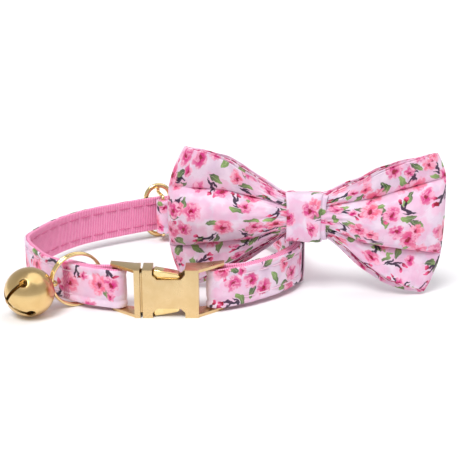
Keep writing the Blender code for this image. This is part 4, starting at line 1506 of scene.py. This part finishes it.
    def build(self, looks: "Looks") -> None:
        """Build the bow; each band logs the size of its cut cloth."""
        cotton = looks.print.material
        wings = self.build_band("bow_wings_looped", 0.0, self.wing_cloth, cotton)
        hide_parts("bow_wings")
        lining = self.build_band("bow_wings_lining", self.lining_inset, self.lining_cloth, cotton)
        self.build_knot(cotton)
        self.build_elastic(looks.elastic.material)
        edges = self.build_turned_edges(looks.turned_edge.material)


@dataclass(frozen=True)
class Motif:
    """One kind of printed motif, laid out in its own cells; lengths in millimetres."""

    cell: float
    shift: Point
    share: float
    jitter: float = 0.62


@dataclass(frozen=True)
class Finish:
    """A finish, made once as a material."""

    name: str

    def paint(self, g: Graph) -> None:
        """Wire the material's nodes, as each kind of finish does for itself."""
        raise NotImplementedError

    @property
    def material(self) -> Material:
        """Return the material, made when it is first asked for."""
        if self.name in bpy.data.materials:
            return bpy.data.materials[self.name]
        g = Graph(self.name)
        self.paint(g)
        return g.material


@dataclass(frozen=True)
class PrintFinish(Finish):
    """Pale cotton with a generic watercolour print of washes, twigs, leaves and blossoms."""

    name: str = "blossom_cotton"
    base: Colour = srgb(236, 214, 230)
    shade: Colour = srgb(216, 188, 211)
    wash: Colour = srgb(236, 158, 198)
    magenta: Colour = srgb(212, 38, 124)
    coral: Colour = srgb(236, 96, 126)
    rim: Colour = srgb(244, 184, 208)
    heart: Colour = srgb(146, 4, 40)
    leaf: Colour = srgb(134, 172, 84)
    leaf_dark: Colour = srgb(36, 66, 38)
    twig: Colour = srgb(30, 14, 46)
    bud: Colour = srgb(232, 92, 140)
    washes: Motif = Motif(7.0, (3.1, 1.7), 0.70)
    sprays: Motif = Motif(8.6, (11.3, 5.9), 0.80)
    leaves: Motif = Motif(6.2, (7.7, 2.3), 0.55)
    blossoms: Motif = Motif(6.8, (1.3, 8.9), 0.72, 0.80)
    small_blossoms: Motif = Motif(5.6, (14.2, 3.6), 0.46, 0.85)

    def local(self, g: Graph, place: Wire, motif: Motif) -> tuple[Wire, Wire, Wire]:
        """Return the turned offset from the nearest motif's middle, its presence and a random tone.

        Args:
            g: The material's graph.
            place: Cloth coordinates in millimetres.
            motif: The motif's layout.

        Returns:
            The offset in millimetres, presence 0 or 1, and a random tone 0 to 1.
        """
        spot = g.vector("SCALE", g.vector("ADD", place, (*motif.shift, 0.0)), 1.0 / motif.cell)
        centre, tint = g.cells(spot, motif.jitter)
        offset = g.vector("SCALE", g.vector("SUBTRACT", spot, centre), motif.cell)
        turn, pick, tone = g.split(tint)
        present = pick.above(motif.share + 0.001, motif.share - 0.001)
        return g.turned(offset, turn * math.tau), present, tone

    def petals(self, g: Graph, offset: Wire, size: object, soft: float) -> tuple[Wire, Wire, Wire]:
        """Return a five-petal shape's cover, the share of the way to its edge, and its wave."""
        x, y, _ = g.split(offset)
        radius = g.length(offset)
        angle = y.op("ARCTAN2", x)
        wave = (angle * 2.5).op("COSINE").abs()
        notch = (angle * 5.0).op("COSINE").op("MAXIMUM", 0.0).power(12.0)
        share = radius / ((wave.power(0.6) * 0.34 + 0.66 - notch * 0.08) * size)
        return share.above(1.0 + soft, 1.0 - soft), share, wave

    def lens(self, g: Graph, offset: Wire, length: float, width: float,
             bend: float) -> tuple[Wire, Wire, Wire]:
        """Return a pointed, bent leaf's cover, its offset from the midrib, and the share along it."""
        x, y, _ = g.split(offset)
        along = x / length
        middle = y - along * along * bend
        half = ((along * along) * -1.0 + 1.0).op("MAXIMUM", 0.0) * width
        return (half - middle.abs()).above(-0.05, 0.09), middle, along

    def moved(self, g: Graph, offset: Wire, x: float, y: float, turn: float) -> Wire:
        """Return an offset measured from another point and turned."""
        return g.turned(g.vector("ADD", offset, (-x, -y, 0.0)), turn)

    def add_leaf(self, g: Graph, colour: Wire, offset: Wire, present: Wire, tone: Wire) -> Wire:
        """Return the colour with a leaf laid over it, dark at its foot and light at its tip."""
        cover, middle, along = self.lens(g, offset, 2.15, 0.86, 0.45)
        leaf = g.mix(along.above(-0.7, 0.7) * 0.65 + tone * 0.35, self.leaf_dark, self.leaf)
        leaf = g.mix(middle.abs().above(0.12, 0.03) * 0.45, leaf, srgb(178, 204, 138))
        return g.mix(cover * present * 0.92, colour, leaf)

    def add_spray(self, g: Graph, colour: Wire, place: Wire) -> Wire:
        """Return the colour with forked twigs over it, each with a leaf and two buds at its tips."""
        offset, present, tone = self.local(g, place, self.sprays)
        main, _, _ = self.lens(g, offset, 3.2, 0.46, 0.8)
        fork, _, _ = self.lens(g, self.moved(g, offset, 0.9, 0.9, -0.75), 1.6, 0.34, -0.3)
        side, _, _ = self.lens(g, self.moved(g, offset, -1.2, -0.5, 0.7), 1.4, 0.30, 0.3)
        twig = main.op("MAXIMUM", fork).op("MAXIMUM", side)
        worn = g.noise(place, 1.9, 2.0).above(0.16, 0.30)
        colour = g.mix(twig * present * worn * 0.94, colour, self.twig)
        colour = self.add_leaf(g, colour, self.moved(g, offset, -2.0, -1.5, 0.7), present, tone)
        for x, y, turn in ((2.9, 0.9, -0.6), (1.9, 2.1, -1.2)):
            cover, _, along = self.lens(g, self.moved(g, offset, x, y, turn), 0.80, 0.55, 0.05)
            bud = g.mix(along.above(-0.7, 0.5), self.heart, self.bud)
            colour = g.mix(cover * present, colour, bud)
        return colour

    def add_blossoms(self, g: Graph, colour: Wire, place: Wire, motif: Motif, size: float,
                     spread: float) -> Wire:
        """Return the colour with watercolour blossoms over it.

        Args:
            g: The material's graph.
            colour: What lies under them.
            place: Cloth coordinates in millimetres.
            motif: Their layout.
            size: The smallest blossom's radius.
            spread: How much larger the largest is.

        Returns:
            The new colour.
        """
        offset, present, tone = self.local(g, place, motif)
        cover, share, wave = self.petals(g, offset, tone * spread + size, 0.13)
        stain = g.noise(place, 0.75, 3.0)
        petal = g.mix(tone.above(0.45, 0.95), self.magenta, self.coral)
        pale = share.above(0.35, 1.0) * 0.42 + stain.above(0.44, 0.56) * 0.58
        petal = g.mix(pale, petal, self.rim)
        petal = g.mix((wave * -1.0 + 1.0).above(0.70, 1.0) * 0.50, petal, self.magenta)
        petal = g.mix(share.above(1.02, 0.90) * -0.22 + 0.22, petal, self.magenta)
        petal = g.mix(share.above(0.52, 0.18) * 0.80, petal, self.magenta)
        ragged = share + (g.noise(place, 3.0, 1.0) - 0.5) * 0.22
        petal = g.mix(ragged.above(0.33, 0.19), petal, self.heart)
        return g.mix(cover * present * 0.96, colour, petal)

    def paint(self, g: Graph) -> None:
        """Wire the printed cotton."""
        uv = g.uv()
        place = g.wobbled(uv, 0.55, 2.0)
        colour = g.mix(g.noise(uv, 0.22, 3.0).above(0.38, 0.68) * 0.8, self.base, self.shade)
        offset, present, _ = self.local(g, place, self.washes)
        cover, share, _ = self.petals(g, offset, 3.4, 0.28)
        colour = g.mix(cover * present * (share * 0.34 + 0.20), colour, self.wash)
        offset, present, tone = self.local(g, place, self.leaves)
        colour = self.add_leaf(g, colour, offset, present, tone)
        colour = self.add_spray(g, colour, place)
        colour = self.add_blossoms(g, colour, place, self.small_blossoms, 1.2, 0.8)
        colour = self.add_blossoms(g, colour, place, self.blossoms, 2.0, 1.0)
        g.colour(colour)
        g.set(Roughness=0.78, Sheen_Weight=0.20, Sheen_Roughness=0.45, Specular_IOR_Level=0.25)
        u, v, _ = g.split(uv)
        weave = (u * (math.tau / 0.26)).wave() * (v * (math.tau / 0.26)).wave()
        slub = g.noise(uv, 7.0, 3.0)
        g.bump(weave * 0.35 + slub * 0.65, 0.00008, 0.55)


@dataclass(frozen=True)
class TurnedEdgeFinish(Finish):
    """The printed cotton where it is folded in: pale at the fold, streaked further in, and darkened
    further in towards the gap between the plies as painted shade.
    """

    name: str = "turned_edge_cotton_painted_shade"
    fold: Colour = srgb(252, 226, 238)
    streak: Colour = srgb(208, 62, 120)
    # painted shade: near-black maroon standing in for the shade between the plies
    deep: Colour = srgb(70, 18, 46)

    def paint(self, g: Graph) -> None:
        """Wire the turned-in cotton."""
        uv = g.uv()
        _, inside, _ = g.split(uv)
        patch = g.noise(g.vector("MULTIPLY", uv, (0.34, 0.5, 1.0)), 1.0, 2.0)
        colour = g.mix(patch.above(0.46, 0.54), self.fold, self.streak)
        # further in, patches of the print's streak mix with painted shade, and past about 0.1 mm from the
        # fold the painted shade takes over
        inner = g.mix(patch.above(0.36, 0.56), self.streak, self.deep)
        colour = g.mix(inside.above(0.10, 0.24), colour, inner)
        g.colour(colour)
        g.set(Roughness=0.8, Sheen_Weight=0.15, Specular_IOR_Level=0.2)
        g.bump(g.noise(uv, 6.0, 2.0), 0.00006, 0.5)


@dataclass(frozen=True)
class WebbingFinish(Finish):
    """Pink polyester webbing with ribs across it, the grooves between the ribs darkened as painted shade.
    """

    name: str = "pink_ribbed_webbing"
    crest: Colour = srgb(244, 166, 200)
    groove_painted_shade: Colour = srgb(226, 108, 160)
    rib: float = 0.55

    def paint(self, g: Graph) -> None:
        """Wire the webbing."""
        uv = g.uv()
        u, v, _ = g.split(uv)
        wander = g.noise(uv, 0.9, 2.0) * 0.35
        rib = ((u + wander * 0.2) * (math.tau / self.rib)).op("COSINE")
        yarn = ((v + (u * (math.pi / self.rib)).wave() * 0.06) * (math.tau / 0.34)).wave()
        height = rib * 0.35 + yarn * 0.12 + 0.5
        # painted shade: the colour darkens into the grooves between the ribs, on top of the bump
        tone = height.above(0.12, 0.78)
        colour = g.mix(tone, self.groove_painted_shade, self.crest)
        colour = g.mix(g.noise(uv, 0.5, 2.0).above(0.35, 0.7) * 0.25, colour, srgb(250, 160, 196))
        g.colour(colour)
        g.set(Roughness=0.62, Sheen_Weight=0.35, Sheen_Roughness=0.4, Specular_IOR_Level=0.35)
        g.bump(height, 0.00010, 0.8)


@dataclass(frozen=True)
class ThreadFinish(Finish):
    """Twisted sewing thread, its twist's grooves darkened as painted shade."""

    name: str
    tone: Colour
    # painted shade in the grooves of the twist
    dark: Colour

    def paint(self, g: Graph) -> None:
        """Wire the thread."""
        place = g.place()
        x, y, z = g.split(place)
        twist = ((x + y + z * 1.4) * (math.tau / 0.28)).wave() * 0.5 + 0.5
        # painted shade along the twist's grooves, mixed partly by the twist and partly by random noise
        g.colour(g.mix(twist * 0.6 + g.noise(place, 1.2) * 0.4, self.tone, self.dark))
        g.set(Roughness=0.55, Sheen_Weight=0.2)
        g.bump(twist, 0.00004, 0.7)


@dataclass(frozen=True)
class MetalFinish(Finish):
    """Plated metal: its colour, its grain and how polished it is."""

    name: str
    base: Colour
    worn: Colour
    roughness: float
    grain: float = 0.00001
    grain_size: float = 3.0
    smudge: float = 0.08

    def paint(self, g: Graph) -> None:
        """Wire the metal."""
        place = g.place()
        cloud = g.noise(place, 0.35, 3.0)
        fine = g.noise(place, self.grain_size, 3.0)
        wear = cloud.above(0.35, 0.70) * 0.5 + fine.above(0.45, 0.75) * 0.35
        g.colour(g.mix(wear, self.base, self.worn))
        g.set(Metallic=1.0)
        rough = cloud * self.smudge + fine * (self.smudge * 0.5) + (self.roughness - self.smudge * 0.7)
        g.feed(g.shader.inputs["Roughness"], rough)
        g.bump(fine, self.grain, 0.6)


@dataclass(frozen=True)
class ElasticFinish(Finish):
    """White woven elastic with fine cords along it, painted grey-mauve as the shade it lies in behind the
    knot, and darker between the cords as painted shade.
    """

    name: str = "white_elastic_painted_in_shade"

    def paint(self, g: Graph) -> None:
        """Wire the elastic."""
        uv = g.uv()
        u, v, _ = g.split(uv)
        cords = (v * (math.tau / 0.42)).wave() * 0.5 + 0.5
        picks = (u * (math.tau / 0.30)).wave() * 0.5 + 0.5
        height = cords * 0.7 + picks * 0.3
        # painted shade: both colours are greyed well below white for the shade behind the knot, and the
        # darker one fills the grooves between the cords
        g.colour(g.mix(height, srgb(170, 142, 158), srgb(206, 178, 192)))
        g.set(Roughness=0.8, Sheen_Weight=0.2)
        g.bump(height, 0.00008, 0.8)


@dataclass(frozen=True)
class FloorFinish(Finish):
    """A plain pale studio floor."""

    name: str = "pale_studio_floor"

    def paint(self, g: Graph) -> None:
        """Wire the floor."""
        place = g.place(1.0)
        g.colour(g.mix(g.noise(place, 6.0, 2.0) * 0.3, (0.93, 0.93, 0.935), (0.91, 0.91, 0.915)))
        g.set(Roughness=0.6, Specular_IOR_Level=0.3)


@dataclass(frozen=True)
class Looks:
    """All of the collar's finishes."""

    print: PrintFinish = PrintFinish()
    turned_edge: TurnedEdgeFinish = TurnedEdgeFinish()
    webbing: WebbingFinish = WebbingFinish()
    elastic: ElasticFinish = ElasticFinish()
    # each thread's second colour is painted shade in the grooves of its twist
    pale_thread: ThreadFinish = ThreadFinish("pale_thread", srgb(255, 240, 246), srgb(226, 150, 190))
    pink_thread: ThreadFinish = ThreadFinish("pink_thread", srgb(232, 120, 168), srgb(190, 66, 122))
    satin_gold: MetalFinish = MetalFinish(
        "satin_gold_plate", srgb(224, 196, 148), srgb(213, 182, 130), 0.28,
        grain=0.000015, grain_size=6.0)
    bright_gold: MetalFinish = MetalFinish(
        "bright_gold_plate", srgb(246, 220, 160), srgb(232, 200, 138), 0.15)
    bell_gold: MetalFinish = MetalFinish(
        "pale_bell_gold", srgb(228, 196, 138), srgb(216, 180, 120), 0.24)
    # painted shade: the ball's steel is darkened well below bare steel, standing in for the shade inside
    # the bell
    steel: MetalFinish = MetalFinish("steel_darkened_as_shade", (0.26, 0.26, 0.27), (0.20, 0.20, 0.21), 0.35)


@dataclass
class Studio:
    """The pale floor, the soft lights and the camera at the photograph's angle."""

    camera_place: Vector = field(default_factory=lambda: Vector((0.0017, -0.2739, 0.100)))
    camera_pitch: float = math.radians(72.0)
    lens: float = 83.64
    sensor: float = 36.0
    nearest: float = 0.005
    floor_size: float = 5.0
    sky: tuple = (
        # position on the ramp from the horizon up, colour
        (0.0, (0.62, 0.62, 0.64, 1.0)), (0.75, (0.42, 0.42, 0.43, 1.0)),
    )
    lights: tuple = (
        # name, direction to the light, width in degrees, strength
        ("key_softbox", (-0.22, -0.46, 0.86), 26.0, 2.25),
        ("fill_softbox", (0.40, 0.10, 0.90), 60.0, 0.80),
    )

    def build_floor(self) -> Object:
        """Build the flat floor."""
        clear_selection()
        bpy.ops.mesh.primitive_plane_add(size=1.0)
        floor = bpy.context.object
        floor.name = "studio_floor"
        floor.data.transform(Matrix.Diagonal((self.floor_size, self.floor_size, 1.0, 1.0)))
        floor.data.materials.append(FloorFinish().material)
        return floor

    def light(self, name: str, towards: Vector, spread: float, strength: float) -> None:
        """Add a soft light that shines evenly from one direction.

        Args:
            name: The light's name.
            towards: The direction from the collar to the light.
            spread: How wide it looks, in degrees; wider gives softer shadows.
            strength: Its strength.
        """
        data = bpy.data.lights.new(name, "SUN")
        data.angle = math.radians(spread)
        data.energy = strength
        obj = bpy.data.objects.new(name, data)
        obj.rotation_euler = (-towards).to_track_quat("-Z", "Y").to_euler()
        bpy.context.scene.collection.objects.link(obj)

    def build_camera(self) -> None:
        """Set the camera at the photograph's place and angle."""
        data = bpy.data.cameras.new("photo_camera")
        data.lens = self.lens
        data.sensor_width = self.sensor
        data.clip_start = self.nearest
        camera = bpy.data.objects.new("photo_camera", data)
        camera.location = self.camera_place
        camera.rotation_euler = (self.camera_pitch, 0.0, 0.0)
        bpy.context.scene.collection.objects.link(camera)
        bpy.context.scene.camera = camera

    def build_sky(self) -> None:
        """Set a soft grey sky that is brighter towards the horizon."""
        world = bpy.data.worlds.new("studio_air")
        world.use_nodes = True
        tree = world.node_tree
        place = tree.nodes.new("ShaderNodeTexCoord")
        split = tree.nodes.new("ShaderNodeSeparateXYZ")
        ramp = tree.nodes.new("ShaderNodeValToRGB")
        tree.links.new(split.inputs[0], place.outputs["Generated"])
        tree.links.new(ramp.inputs["Fac"], split.outputs["Z"])
        tree.links.new(tree.nodes["Background"].inputs["Color"], ramp.outputs["Color"])
        for stop, (position, colour) in zip(ramp.color_ramp.elements, self.sky):
            stop.position = position
            stop.color = colour
        bpy.context.scene.world = world

    def build(self) -> None:
        """Build the studio."""
        self.build_camera()
        self.build_sky()
        bpy.context.scene.view_settings.view_transform = "Standard"
        for name, towards, spread, strength in self.lights:
            self.light(name, Vector(towards), spread, strength)
        self.build_floor()


def write_sizes() -> None:
    """Update the view layer."""
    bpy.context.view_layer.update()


def main() -> None:
    """Build the studio and the collar's pieces in order."""
    logging.basicConfig(level=logging.INFO, format="%(name)s: %(message)s")
    looks = Looks()
    Studio().build()
    path = StrapPath()
    Strap(path).build(looks)
    Buckle().build(looks)
    Adjuster(path).build(looks)
    SplitRing().build(looks)
    Bell().build(looks)
    Bow().build(looks)
    write_sizes()


if __name__ == "__main__":
    main()
